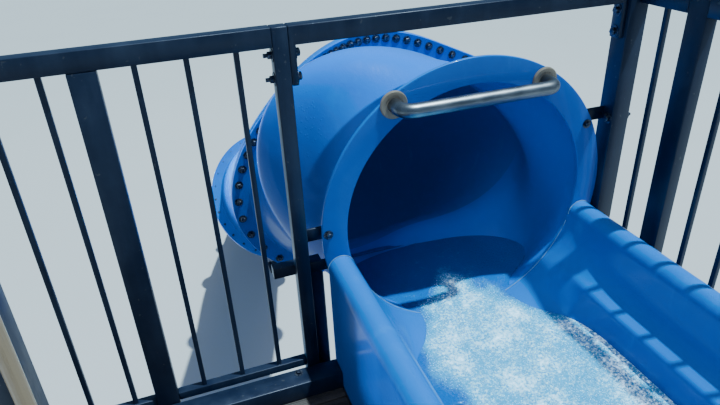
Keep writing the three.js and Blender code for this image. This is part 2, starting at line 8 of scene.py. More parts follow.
import json
import logging
import math
from dataclasses import dataclass, field
from enum import Enum
from typing import Any, Sequence

import bmesh
import bpy
from mathutils import Matrix, Vector, noise

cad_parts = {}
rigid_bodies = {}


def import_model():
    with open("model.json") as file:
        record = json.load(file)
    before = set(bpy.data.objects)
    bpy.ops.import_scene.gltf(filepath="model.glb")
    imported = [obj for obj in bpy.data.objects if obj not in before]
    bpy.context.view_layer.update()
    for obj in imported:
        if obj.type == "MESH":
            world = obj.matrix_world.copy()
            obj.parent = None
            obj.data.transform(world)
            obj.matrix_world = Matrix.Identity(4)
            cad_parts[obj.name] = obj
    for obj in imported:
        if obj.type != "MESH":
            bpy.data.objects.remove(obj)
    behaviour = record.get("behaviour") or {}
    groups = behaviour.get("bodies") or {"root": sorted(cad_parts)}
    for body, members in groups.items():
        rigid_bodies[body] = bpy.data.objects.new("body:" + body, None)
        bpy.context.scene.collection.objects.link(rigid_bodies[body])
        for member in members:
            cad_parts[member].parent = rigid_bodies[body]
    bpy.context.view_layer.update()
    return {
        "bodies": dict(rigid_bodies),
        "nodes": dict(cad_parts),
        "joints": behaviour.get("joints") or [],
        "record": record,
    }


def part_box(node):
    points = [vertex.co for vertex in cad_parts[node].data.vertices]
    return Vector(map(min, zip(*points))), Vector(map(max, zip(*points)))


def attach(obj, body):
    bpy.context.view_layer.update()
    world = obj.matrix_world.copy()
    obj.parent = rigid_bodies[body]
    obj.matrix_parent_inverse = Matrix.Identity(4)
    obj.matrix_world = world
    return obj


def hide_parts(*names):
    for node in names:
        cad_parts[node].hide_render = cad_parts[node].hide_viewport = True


LOG = logging.getLogger("slide_tower")
Colour = tuple[float, float, float, float]
Pair = tuple[float, float]
Triple = tuple[float, float, float]
BODY = "root"
BLACK: Colour = (0.0, 0.0, 0.0, 1.0)
CLEARANCE = 0.0003  # gap between neighbouring solids
HALF_GAP = CLEARANCE / 2
LEFT, RIGHT = Vector((-1, 0, 0)), Vector((1, 0, 0))
FRONT, BACK = Vector((0, -1, 0)), Vector((0, 1, 0))
UP = Vector((0, 0, 1))


class Slot(Enum):
    """Material slots of the record."""

    PAINT = "paint"
    BLUE = "blue"
    STAINLESS = "stainless"
    DECK = "deck"
    PIPE = "pipe"


class Num:
    """A number in a node tree. Arithmetic on it adds Math nodes."""

    def __init__(self, graph: "Graph", socket: bpy.types.NodeSocket) -> None:
        """Wrap one socket.

        Args:
            graph: The tree that new nodes go into.
            socket: The output socket that gives the number.
        """
        self.graph = graph
        self.socket = socket

    def __add__(self, other: Any) -> "Num":
        """Sum."""
        return self.graph.math("ADD", self, other)

    def __radd__(self, other: Any) -> "Num":
        """Sum with the number on the right."""
        return self.graph.math("ADD", other, self)

    def __sub__(self, other: Any) -> "Num":
        """Difference."""
        return self.graph.math("SUBTRACT", self, other)

    def __rsub__(self, other: Any) -> "Num":
        """Difference with the number on the right."""
        return self.graph.math("SUBTRACT", other, self)

    def __mul__(self, other: Any) -> "Num":
        """Product."""
        return self.graph.math("MULTIPLY", self, other)

    def __truediv__(self, other: Any) -> "Num":
        """Quotient."""
        return self.graph.math("DIVIDE", self, other)

    def __rtruediv__(self, other: Any) -> "Num":
        """Quotient with the number below."""
        return self.graph.math("DIVIDE", other, self)


class Graph:
    """One node tree, with a single way to add nodes to it."""

    def __init__(self, tree: bpy.types.NodeTree) -> None:
        """Hold the tree.

        Args:
            tree: A material's or a geometry node tree.
        """
        self.tree = tree

    def node(self, kind: str, settings: dict[str, Any] | None = None,
             sockets: dict[Any, Any] | None = None) -> bpy.types.Node:
        """Add a node.

        Args:
            kind: The node's type.
            settings: Its properties, which are set first.
            sockets: Values or links of its input sockets, by name or number.

        Returns:
            The new node.
        """
        made = self.tree.nodes.new(kind)
        for name, value in (settings or {}).items():
            setattr(made, name, value)
        for key, value in (sockets or {}).items():
            link = value.socket if isinstance(value, Num) else value
            if isinstance(link, bpy.types.NodeSocket):
                self.tree.links.new(link, made.inputs[key])
            else:
                made.inputs[key].default_value = link
        return made

    def math(self, operation: str, *values: Any) -> Num:
        """Add a Math node.

        Args:
            operation: The node's operation.
            values: Numbers or links, in order.

        Returns:
            The result.
        """
        made = self.node("ShaderNodeMath", {"operation": operation}, dict(enumerate(values)))
        return Num(self, made.outputs[0])

    def vector(self, operation: str, *values: Any) -> bpy.types.NodeSocket:
        """Add a Vector Math node.

        Args:
            operation: The node's operation.
            values: Vectors or links, in order; a scale comes second.

        Returns:
            The resulting vector.
        """
        keys = [0, "Scale"] if operation == "SCALE" else list(range(len(values)))
        made = self.node("ShaderNodeVectorMath", {"operation": operation}, dict(zip(keys, values)))
        return made.outputs[0]

    def split(self, value: Any) -> tuple[Num, Num, Num]:
        """The three numbers of a vector."""
        outputs = self.node("ShaderNodeSeparateXYZ", None, {0: value}).outputs
        return Num(self, outputs[0]), Num(self, outputs[1]), Num(self, outputs[2])

    def clamp(self, value: Any) -> Num:
        """A number held from 0 to 1."""
        return Num(self, self.node("ShaderNodeClamp", None, {0: value}).outputs[0])

    def step(self, value: Any, low: float, high: float) -> Num:
        """A smooth step.

        Args:
            value: The number.
            low: Where the result is 0.
            high: Where the result is 1.

        Returns:
            A number from 0 to 1.
        """
        made = self.node("ShaderNodeMapRange", {"interpolation_type": "SMOOTHSTEP"},
                         {0: value, 1: low, 2: high, 3: 0.0, 4: 1.0})
        return Num(self, made.outputs[0])

    def blend(self, share: Any, first: Any, second: Any) -> bpy.types.NodeSocket:
        """Mix two colours.

        Args:
            share: How much of the second shows.
            first: A colour or a link.
            second: A colour or a link.

        Returns:
            The mixed colour.
        """
        made = self.node("ShaderNodeMix", {"data_type": "RGBA"}, {0: share, 6: first, 7: second})
        return made.outputs[2]

    def oval(self, angle: Num) -> Num:
        """Radius of the oval that the tree's inputs describe.

        Args:
            angle: Angle in the oval's plane.

        Returns:
            The radius at that angle.
        """
        local = angle - self.value("Turn")
        along = self.math("COSINE", local) / self.value("Major")
        across = self.math("SINE", local) / self.value("Minor")
        lobes = self.math("COSINE", (angle - self.value("Lobe Turn")) * 3.0) * self.value("Lobe")
        return lobes + 1.0 / self.math("SQRT", along * along + across * across)


class Surface(Graph):
    """A material's tree: one Principled shader and the patterns that feed it."""

    def __init__(self, name: str, constants: dict[str, Any]) -> None:
        """Start a material.

        Args:
            name: The material's name.
            constants: Values set on the shader's own sockets.
        """
        self.material = bpy.data.materials.new(name)
        self.material.use_nodes = True
        super().__init__(self.material.node_tree)
        self.tree.nodes.clear()
        self.shader = self.node("ShaderNodeBsdfPrincipled", None, constants)
        self.node("ShaderNodeOutputMaterial", None, {"Surface": self.shader.outputs[0]})
        self.place = self.node("ShaderNodeTexCoord").outputs["Object"]

    def feed(self, **inputs: Any) -> bpy.types.Material:
        """Link patterns to the shader.

        Args:
            inputs: Links by socket name, with underscores for spaces.

        Returns:
            The finished material.
        """
        for name, value in inputs.items():
            link = value.socket if isinstance(value, Num) else value
            self.tree.links.new(link, self.shader.inputs[name.replace("_", " ")])
        return self.material

    def stretched(self, scale: Triple) -> bpy.types.NodeSocket:
        """The place on the surface, scaled along each axis."""
        return self.node("ShaderNodeMapping", None, {"Vector": self.place, "Scale": scale}).outputs[0]

    def grain(self, scale: float, detail: float = 3.0, rough: float = 0.5,
              place: bpy.types.NodeSocket | None = None) -> Num:
        """A noise pattern.

        Args:
            scale: Features in a metre.
            detail: Octaves.
            rough: Strength of the finer octaves.
            place: Where it is read, or the plain place on the surface.

        Returns:
            A number about 0.5.
        """
        made = self.node("ShaderNodeTexNoise", None, {
            "Vector": place or self.place, "Scale": scale, "Detail": detail, "Roughness": rough})
        return Num(self, made.outputs[0])

    def dots(self, scale: float) -> Num:
        """Distance to the nearest point of a scatter, in cells."""
        made = self.node("ShaderNodeTexVoronoi", None, {"Vector": self.place, "Scale": scale})
        return Num(self, made.outputs["Distance"])

    def upward(self) -> Num:
        """How far the surface faces up, from -1 to 1."""
        return self.split(self.node("ShaderNodeNewGeometry").outputs["Normal"])[2]

    def bump(self, height: Any, strength: float, distance: float,
             below: bpy.types.NodeSocket | None = None) -> bpy.types.NodeSocket:
        """Turn a height pattern into a normal.

        Args:
            height: The pattern.
            strength: Strength from 0 to 1.
            distance: Height of the pattern in metres.
            below: A coarser normal that this one lies on.

        Returns:
            The normal.
        """
        sockets = {"Height": height, "Strength": strength, "Distance": distance}
        if below is not None:
            sockets["Normal"] = below
        return self.node("ShaderNodeBump", None, sockets).outputs[0]


@dataclass(frozen=True)
class GelCoat:
    """Glossy azure moulding: hand-laid ripples, tops lighter from sun fading and painted top light, water
    marks and drops.

    The shell lets a little daylight through, which the glow stands for.
    """

    name: str = "gel_coat"
    deep: Colour = (0.0005, 0.092, 0.40, 1.0)
    bright: Colour = (0.0, 0.155, 0.56, 1.0)
    chalk: Colour = (0.020, 0.27, 0.70, 1.0)
    glow: Colour = (0.0, 0.0045, 0.026, 1.0)
    refraction: float = 1.4
    specular: float = 0.16
    gloss: float = 0.30
    coat: float = 0.26
    coat_gloss: float = 0.10
    stain: float = 0.22
    stain_run: Triple = (1.0, 1.0, 0.35)
    lay_run: Triple = (1.0, 0.40, 1.0)
    ripple_height: float = 0.010
    lay_height: float = 0.003
    drop_height: float = 0.0012

    def build(self) -> bpy.types.Material:
        """Mix the azure from fading with painted top light, stains, drops and the lay of the moulding.

        Returns:
            The material.
        """
        work = Surface(self.name, {"IOR": self.refraction, "Specular IOR Level": self.specular,
                                   "Coat Roughness": self.coat_gloss, "Coat IOR": self.refraction,
                                   "Emission Color": self.glow, "Emission Strength": 1.0})
        broad = work.grain(1.7, 3.0)
        marks = work.grain(14.0, 5.0, 0.62, work.stretched(self.stain_run))
        # Faces that turn up mix towards the lighter blue: painted top light, together with sun fading.
        fade_and_top_light = work.step(work.upward() + (broad - 0.5) * 0.8, 0.1, 1.0)
        colour = work.blend(fade_and_top_light, self.deep, self.bright)
        stain = work.step(marks, 0.55, 0.78) * self.stain
        colour = work.blend(stain, colour, self.chalk)
        drops = work.clamp(1.0 - work.dots(95.0) * 3.4) * work.step(work.grain(6.0), 0.52, 0.62)
        ripple = work.bump(work.grain(7.0, 2.0), 0.35, self.ripple_height)
        strands = work.grain(38.0, 4.0, 0.65, work.stretched(self.lay_run))
        lay = work.bump(strands, 0.26, self.lay_height, ripple)
        normal = work.bump(drops, 0.5, self.drop_height, lay)
        rough = self.gloss + stain * 0.6 + work.grain(30.0) * 0.06
        return work.feed(Base_Color=colour, Roughness=rough, Coat_Weight=self.coat - stain, Normal=normal)


@dataclass(frozen=True)
class WeatheredPaint:
    """Dark navy steel paint with a dusty bloom and small chips."""

    name: str = "navy_paint"
    base: Colour = (0.005, 0.013, 0.036, 1.0)
    dust: Colour = (0.028, 0.048, 0.090, 1.0)
    chip: Colour = (0.13, 0.14, 0.15, 1.0)
    run: Triple = (1.0, 1.0, 0.12)
    bloom: float = 0.55
    chipped: float = 0.35
    skin: float = 0.0006

    def build(self) -> bpy.types.Material:
        """Mix the paint from dust, runs and chips.

        Returns:
            The material.
        """
        work = Surface(self.name, {"IOR": 1.45})
        cloud = work.grain(5.0, 5.0, 0.65)
        runs = work.grain(26.0, 4.0, 0.6, work.stretched(self.run))
        bloom = work.step(cloud * 0.6 + runs * 0.4, 0.38, 0.72)
        colour = work.blend(bloom * self.bloom, self.base, self.dust)
        chips = work.step(work.grain(70.0, 2.0, 0.5), 0.70, 0.74)
        colour = work.blend(chips * self.chipped, colour, self.chip)
        peel = work.bump(work.grain(260.0, 2.0), 0.25, self.skin)
        normal = work.bump(1.0 - chips, 0.4, self.skin, peel)
        return work.feed(Base_Color=colour, Roughness=0.34 + bloom * 0.22, Metallic=0.25 + chips * 0.3,
                         Normal=normal)


@dataclass(frozen=True)
class BrushedSteel:
    """Stainless tube, drawn along its length."""

    name: str = "brushed_stainless"
    base: Colour = (0.27, 0.29, 0.32, 1.0)
    shade: Colour = (0.15, 0.17, 0.20, 1.0)
    stretch: Triple = (0.06, 1.0, 1.0)
    line_height: float = 0.0004

    def build(self) -> bpy.types.Material:
        """Draw the lines of the brushing along the tube.

        Returns:
            The material.
        """
        work = Surface(self.name, {"IOR": 2.5})
        lines = work.grain(420.0, 3.0, 0.6, work.stretched(self.stretch))
        haze = work.grain(18.0, 3.0)
        colour = work.blend(work.step(lines * 0.5 + haze * 0.5, 0.35, 0.7), self.shade, self.base)
        normal = work.bump(lines, 0.12, self.line_height)
        return work.feed(Base_Color=colour, Roughness=0.28 + haze * 0.18, Metallic=1.0 - haze * 0.04,
                         Normal=normal)


@dataclass(frozen=True)
class PlainMetal:
    """Zinc-plated fasteners, dulled and spotted outdoors."""

    name: str = "dull_zinc"
    base: Colour = (0.020, 0.032, 0.065, 1.0)
    pale: Colour = (0.12, 0.14, 0.18, 1.0)
    rust: Colour = (0.05, 0.038, 0.035, 1.0)
    spot_height: float = 0.0004

    def build(self) -> bpy.types.Material:
        """Mix dull zinc, pale spots and rust.

        Returns:
            The material.
        """
        work = Surface(self.name, {"IOR": 1.8})
        spots = work.grain(160.0, 3.0)
        colour = work.blend(work.step(spots, 0.42, 0.66), self.base, self.pale)
        rust = work.step(work.grain(60.0, 4.0), 0.60, 0.72)
        colour = work.blend(rust * 0.7, colour, self.rust)
        return work.feed(Base_Color=colour, Roughness=0.36 + spots * 0.2, Metallic=0.85 - rust * 0.6,
                         Normal=work.bump(spots, 0.3, self.spot_height))


@dataclass(frozen=True)
class BoardFinish:
    """Brown-grey decking with fine lengthwise ridges, scuffs and grit."""

    name: str = "deck_board"
    dark: Colour = (0.022, 0.020, 0.021, 1.0)
    light: Colour = (0.085, 0.076, 0.072, 1.0)
    along: Triple = (0.05, 1.0, 1.0)
    ridge_pitch: float = 0.0067
    ridge_height: float = 0.0012
    grain_height: float = 0.0015

    def build(self) -> bpy.types.Material:
        """Mix the boards from grain, wear and grit over their ridges.

        Returns:
            The material.
        """
        work = Surface(self.name, {"IOR": 1.45})
        grain = work.grain(60.0, 5.0, 0.65, work.stretched(self.along))
        worn = work.grain(3.2, 4.0, 0.6)
        grit = work.grain(300.0, 2.0)
        share = work.step(grain * 0.5 + worn * 0.35 + grit * 0.15, 0.38, 0.66)
        colour = work.blend(share, self.dark, self.light)
        across = work.split(work.place)[1]
        ridges = work.math("SINE", across * (2.0 * math.pi / self.ridge_pitch))
        coarse = work.bump(ridges, 0.5, self.ridge_height)
        return work.feed(Base_Color=colour, Roughness=0.62 + grain * 0.22,
                         Normal=work.bump(grain * 0.7 + grit * 0.3, 0.35, self.grain_height, coarse))


@dataclass(frozen=True)
class SatinPipe:
    """Satin metal or pipe with a soft sheen and water marks, beige unless told otherwise."""

    name: str = "beige_pipe"
    base: Colour = (0.40, 0.31, 0.21, 1.0)
    mark: Colour = (0.22, 0.17, 0.12, 1.0)
    run: Triple = (1.0, 1.0, 0.1)
    run_height: float = 0.0005

    def build(self) -> bpy.types.Material:
        """Mix the plain colour and the marks of running water.

        Returns:
            The material.
        """
        work = Surface(self.name, {"IOR": 1.5})
        runs = work.grain(30.0, 4.0, 0.6, work.stretched(self.run))
        share = work.step(runs, 0.48, 0.72)
        return work.feed(Base_Color=work.blend(share, self.base, self.mark), Roughness=0.24 + share * 0.3,
                         Normal=work.bump(runs, 0.15, self.run_height))


@dataclass(frozen=True)
class Sealant:
    """Blue-grey bead of sealant, a little uneven."""

    name: str = "sealant"
    base: Colour = (0.16, 0.30, 0.46, 1.0)
    grime: Colour = (0.05, 0.14, 0.28, 1.0)
    lump_height: float = 0.001

    def build(self) -> bpy.types.Material:
        """Mix clean and grimy sealant.

        Returns:
            The material.
        """
        work = Surface(self.name, {"IOR": 1.4})
        share = work.grain(40.0, 3.0)
        return work.feed(Base_Color=work.blend(work.step(share, 0.5, 0.7), self.base, self.grime),
                         Roughness=0.4 + share * 0.2, Normal=work.bump(share, 0.4, self.lump_height))


@dataclass(frozen=True)
class FoamingWater:
    """Aerated water: white foam, cyan where it thins, deep blue at its edges.

    The sheet's attribute "foam" says how much it foams at a place. The glow is painted light: emission that
    brightens the thick foam and the painted glints.
    """

    name: str = "foaming_water"
    white: Colour = (0.34, 0.84, 1.0, 1.0)
    cyan: Colour = (0.030, 0.48, 0.88, 1.0)
    deep: Colour = (0.001, 0.13, 0.52, 1.0)
    glow: Colour = (0.62, 1.0, 1.45, 1.0)
    glow_strength: float = 1.9
    cell_height: float = 0.009
    bead_height: float = 0.003

    def build(self) -> bpy.types.Material:
        """Mix deep water, thin foam and white bubbles.

        Returns:
            The material.
        """
        work = Surface(self.name, {"IOR": 1.33, "Specular IOR Level": 0.35, "Coat Weight": 0.12,
                                   "Coat Roughness": 0.03, "Emission Strength": self.glow_strength})
        foam = Num(work, work.node("ShaderNodeAttribute", {"attribute_name": "foam"}).outputs["Fac"])
        cells = work.grain(120.0, 6.0, 0.75)
        swirl = work.grain(13.0, 5.0, 0.65)
        cover = work.step(foam + (swirl - 0.5) * 1.1 + (cells - 0.5) * 1.1, 0.05, 0.80)
        rich = work.step(foam + (swirl - 0.5) * 1.5 + (cells - 0.5) * 2.4, 0.62, 1.60)
        # Small white dots: painted glints of sunlight on the bubbles, mixed into the colour and the glow.
        painted_glints = work.clamp(1.0 - work.dots(190.0) * 3.4) * work.step(foam, 0.06, 0.5)
        colour = work.blend(cover, self.deep, self.cyan)
        colour = work.blend(work.clamp(rich + painted_glints), colour, self.white)
        beads = work.bump(work.dots(150.0), 0.5, self.bead_height)
        normal = work.bump(cells, 0.8, self.cell_height, beads)
        # Painted glow: emission on the thick foam and the glints, though the water is no lamp.
        glow = work.blend(rich * rich * 0.8 + painted_glints * 0.5, BLACK, self.glow)
        return work.feed(Base_Color=colour, Roughness=0.05 + cover * 0.18, Emission_Color=glow,
                         Normal=normal)


@dataclass(frozen=True)
class PaleFloor:
    """Plain pale studio floor."""

    name: str = "studio_floor"
    base: Colour = (0.48, 0.50, 0.51, 1.0)
    shade: Colour = (0.45, 0.47, 0.48, 1.0)

    def build(self) -> bpy.types.Material:
        """Mix two pale greys in large soft patches.

        Returns:
            The material.
        """
        work = Surface(self.name, {"IOR": 1.45})
        share = work.grain(0.6, 2.0)
        return work.feed(Base_Color=work.blend(share, self.base, self.shade), Roughness=0.7 + share * 0.1)


# Lighter, bluer copy of the gel coat for the entry elbow: painted sunlight, where the tub and tubes keep the
# plain gel coat.
SUNLIT = GelCoat("gel_coat_sunlit", (0.0, 0.085, 0.40, 1.0), (0.0, 0.185, 0.76, 1.0),
                 (0.010, 0.24, 0.76, 1.0))
COVER = SatinPipe("cover_plate", (0.20, 0.175, 0.14, 1.0), (0.10, 0.10, 0.10, 1.0))


@dataclass(frozen=True)
class Palette:
    """Every finish, built once."""

    gel_coat: bpy.types.Material
    sunlit: bpy.types.Material
    paint: bpy.types.Material
    stainless: bpy.types.Material
    zinc: bpy.types.Material
    boards: bpy.types.Material
    pipe: bpy.types.Material
    cover: bpy.types.Material
    sealant: bpy.types.Material
    water: bpy.types.Material
    floor: bpy.types.Material

    @classmethod
    def mixed(cls) -> "Palette":
        """Build all the finishes."""
        return cls(GelCoat().build(), SUNLIT.build(), WeatheredPaint().build(), BrushedSteel().build(),
                   PlainMetal().build(), BoardFinish().build(), SatinPipe().build(), COVER.build(),
                   Sealant().build(), FoamingWater().build(), PaleFloor().build())

    def of_slot(self, slot: Slot) -> bpy.types.Material:
        """The finish that a slot of the record gets."""
        return {Slot.PAINT: self.paint, Slot.BLUE: self.gel_coat, Slot.STAINLESS: self.stainless,
                Slot.DECK: self.boards, Slot.PIPE: self.pipe}[slot]


@dataclass(frozen=True)
class Datum:
    """Foot of post A on the deck, in the part's frame."""

    x: float
    y: float
    z: float

    @classmethod
    def from_frame(cls) -> "Datum":
        """Read the place from post A's box."""
        low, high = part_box("post_a")
        return cls((low.x + high.x) / 2, (low.y + high.y) / 2, low.z - CLEARANCE)

    def at(self, x: float, y: float, z: float) -> Vector:
        """A point of the deck's frame in the part's frame."""
        return Vector((self.x + x, self.y + y, self.z + z))


def smooth(value: float, low: float, high: float) -> float:
    """A smooth step from 0 at low to 1 at high."""
    share = min(1.0, max(0.0, (value - low) / (high - low)))
    return share * share * (3.0 - 2.0 * share)


def mix(first: float, second: float, share: float) -> float:
    """A number between two others."""
    return first + (second - first) * share


def spaced(points: Sequence[Pair], count: int) -> list[Pair]:
    """Resample an open line.

    Args:
        points: Corners of the line.
        count: Number of equal steps.

    Returns:
        count + 1 points, evenly spaced along the line.
    """
    lengths = [math.dist(a, b) for a, b in zip(points, points[1:])]
    total = sum(lengths)
    result: list[Pair] = []
    piece, passed = 0, 0.0
    for step in range(count + 1):
        goal = total * step / count
        while piece < len(lengths) - 1 and passed + lengths[piece] < goal:
            passed += lengths[piece]
            piece += 1
        share = min(1.0, (goal - passed) / lengths[piece])
        (ax, ay), (bx, by) = points[piece], points[piece + 1]
        result.append((mix(ax, bx, share), mix(ay, by, share)))
    return result


def bow(start: Pair, control: Pair, end: Pair, count: int = 10) -> list[Pair]:
    """Points of a quadratic curve, without its start.

    Args:
        start: Where the curve starts.
        control: The point that it bends towards.
        end: Where it ends.
        count: Number of steps.

    Returns:
        The points.
    """
    result = []
    for step in range(1, count + 1):
        t = step / count
        a, b, c = (1 - t) ** 2, 2 * t * (1 - t), t * t
        result.append((a * start[0] + b * control[0] + c * end[0],
                       a * start[1] + b * control[1] + c * end[1]))
    return result


def object_of(name: str, points: Sequence[Vector], faces: Sequence[Sequence[int]]) -> bpy.types.Object:
    """Make an object from points and faces.

    Args:
        name: The object's name.
        points: Corners in the part's frame.
        faces: Corner numbers of each face.

    Returns:
        The linked object.
    """
    mesh = bpy.data.meshes.new(name)
    mesh.from_pydata([tuple(point) for point in points], [], [tuple(face) for face in faces])
    made = bpy.data.objects.new(name, mesh)
    bpy.context.scene.collection.objects.link(made)
    return made


def lattice(name: str, rows: Sequence[Sequence[Vector]], ring: bool = True, loop: bool = False,
            caps: bool = False) -> bpy.types.Object:
    """Skin a lattice of points.

    Args:
        name: The object's name.
        rows: Rows of points, all of one length.
        ring: Whether each row closes on itself.
        loop: Whether the last row joins the first.
        caps: Whether the first and last rows are filled.

    Returns:
        The object.
    """
    width = len(rows[0])
    points = [point for row in rows for point in row]
    faces: list[list[int]] = []
    for r in range(len(rows) if loop else len(rows) - 1):
        here, there = r * width, ((r + 1) % len(rows)) * width
        for c in range(width if ring else width - 1):
            d = (c + 1) % width
            faces.append([here + c, here + d, there + d, there + c])
    if caps:
        faces.append(list(range(width))[::-1])
        faces.append([(len(rows) - 1) * width + c for c in range(width)])
    return object_of(name, points, faces)


def tidy(piece: bpy.types.Object, angle: float = 32.0) -> bpy.types.Object:
    """Turn faces outwards, merge doubles and shade smooth up to an angle.

    Args:
        piece: The object.
        angle: Edges sharper than this stay sharp, in degrees.

    Returns:
        The same object.
    """
    shape = bmesh.new()
    shape.from_mesh(piece.data)
    bmesh.ops.remove_doubles(shape, verts=shape.verts, dist=1e-6)
    bmesh.ops.recalc_face_normals(shape, faces=shape.faces)
    shape.to_mesh(piece.data)
    shape.free()
    for face in piece.data.polygons:
        face.use_smooth = True
    piece.data.set_sharp_from_angle(angle=math.radians(angle))
    return piece


def merged(name: str, pieces: Sequence[bpy.types.Object]) -> bpy.types.Object:
    """Join several objects into one mesh.

    Args:
        name: Name of the result.
        pieces: The objects, which are removed.

    Returns:
        The joined object.
    """
    shape = bmesh.new()
    for piece in pieces:
        shape.from_mesh(piece.data)
        bpy.data.objects.remove(piece)
    made = object_of(name, [], [])
    shape.to_mesh(made.data)
    shape.free()
    return made


def slab(name: str, low: Vector, high: Vector, radius: float = 0.002) -> bpy.types.Object:
    """A box with rounded edges.

    Args:
        name: The object's name.
        low: Lowest corner.
        high: Highest corner.
        radius: Radius of the edges.

    Returns:
        The object.
    """
    made = object_of(name, [], [])
    shape = bmesh.new()
    bmesh.ops.create_cube(shape, size=1.0)
    size = high - low
    bmesh.ops.transform(shape, matrix=Matrix.Translation((low + high) / 2) @ Matrix.Diagonal((*size, 1.0)),
                        verts=shape.verts)
    bmesh.ops.bevel(shape, geom=list(shape.edges), offset=radius, segments=2, profile=0.5, affect="EDGES")
    shape.to_mesh(made.data)
    shape.free()
    return made


def circle(centre: Vector, side: Vector, other: Vector, radius: float, count: int) -> list[Vector]:
    """Points round a centre.

    Args:
        centre: The centre.
        side: Unit direction of the first point.
        other: Unit direction across it.
        radius: Radius of the circle.
        count: Number of points.

    Returns:
        The points.
    """
    turns = [2 * math.pi * step / count for step in range(count)]
    return [centre + (side * math.cos(turn) + other * math.sin(turn)) * radius for turn in turns]


def turned(name: str, profile: Sequence[Pair], centre: Vector, axis: Vector, sides: int) -> bpy.types.Object:
    """A turned solid.

    Args:
        name: The object's name.
        profile: Radii and heights, from the axis round and back to it.
        centre: Where the axis starts.
        axis: Unit direction of the axis.
        sides: Number of sides.

    Returns:
        The object.
    """
    side = axis.orthogonal().normalized()
    other = axis.cross(side)
    rows = [circle(centre + axis * height, side, other, max(radius, 1e-5), sides)
            for radius, height in profile]
    return lattice(name, rows, caps=True)


def deliver(piece: bpy.types.Object, finish: bpy.types.Material,
            nodes: Sequence[str] = ()) -> bpy.types.Object:
    """Give a piece its finish and hand it to the frame.

    Args:
        piece: The finished object, at the origin.
        finish: Its material.
        nodes: Solids that it stands for.

    Returns:
        The same object.
    """
    piece.data.materials.clear()
    piece.data.materials.append(finish)
    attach(piece, BODY)
    if nodes:
        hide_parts(*nodes)
    LOG.info("piece %s: %d faces", piece.name, len(piece.data.polygons))
    return piece


class Rule(Graph):
    """A geometry node tree with named inputs, which an object runs through once."""

    KINDS = {int: "NodeSocketInt", float: "NodeSocketFloat", Vector: "NodeSocketVector",
             bpy.types.Material: "NodeSocketMaterial"}
    OVAL = {"Major": float, "Minor": float, "Turn": float, "Lobe": float, "Lobe Turn": float}

    def __init__(self, name: str, inputs: dict[str, type]) -> None:
        """Open a tree.

        Args:
            name: The tree's name.
            inputs: Name and kind of each input.
        """
        super().__init__(bpy.data.node_groups.new(name, "GeometryNodeTree"))
        face = self.tree.interface
        face.new_socket("Geometry", in_out="INPUT", socket_type="NodeSocketGeometry")
        self.keys = {key: face.new_socket(key, in_out="INPUT", socket_type=self.KINDS[kind]).identifier
                     for key, kind in inputs.items()}
        face.new_socket("Geometry", in_out="OUTPUT", socket_type="NodeSocketGeometry")
        self.given = self.node("NodeGroupInput")
        self.index = Num(self, self.node("GeometryNodeInputIndex").outputs[0])

    def value(self, name: str) -> Num:
        """One of the inputs."""
        return Num(self, self.given.outputs[name])

    def close(self, geometry: bpy.types.NodeSocket) -> None:
        """End the tree with Realize Instances and Set Material.

        Args:
            geometry: The result so far.
        """
        real = self.node("GeometryNodeRealizeInstances", None, {0: geometry})
        dressed = self.node("GeometryNodeSetMaterial", None,
                            {"Geometry": real.outputs[0], "Material": self.value("Finish")})
        self.node("NodeGroupOutput", None, {0: dressed.outputs[0]})

    def run(self, piece: bpy.types.Object, **values: Any) -> bpy.types.Object:
        """Run an object through the tree and keep the plain mesh.

        Args:
            piece: The object whose mesh goes in.
            values: The inputs, with underscores for spaces.

        Returns:
            The same object.
        """
        modifier = piece.modifiers.new("rule", "NODES")
        modifier.node_group = self.tree
        for name, value in values.items():
            modifier[self.keys[name.replace("_", " ")]] = list(value) if isinstance(value, Vector) else value
        seen = piece.evaluated_get(bpy.context.evaluated_depsgraph_get())
        mesh = bpy.data.meshes.new_from_object(seen)
        piece.modifiers.remove(modifier)
        piece.data = mesh
        return piece


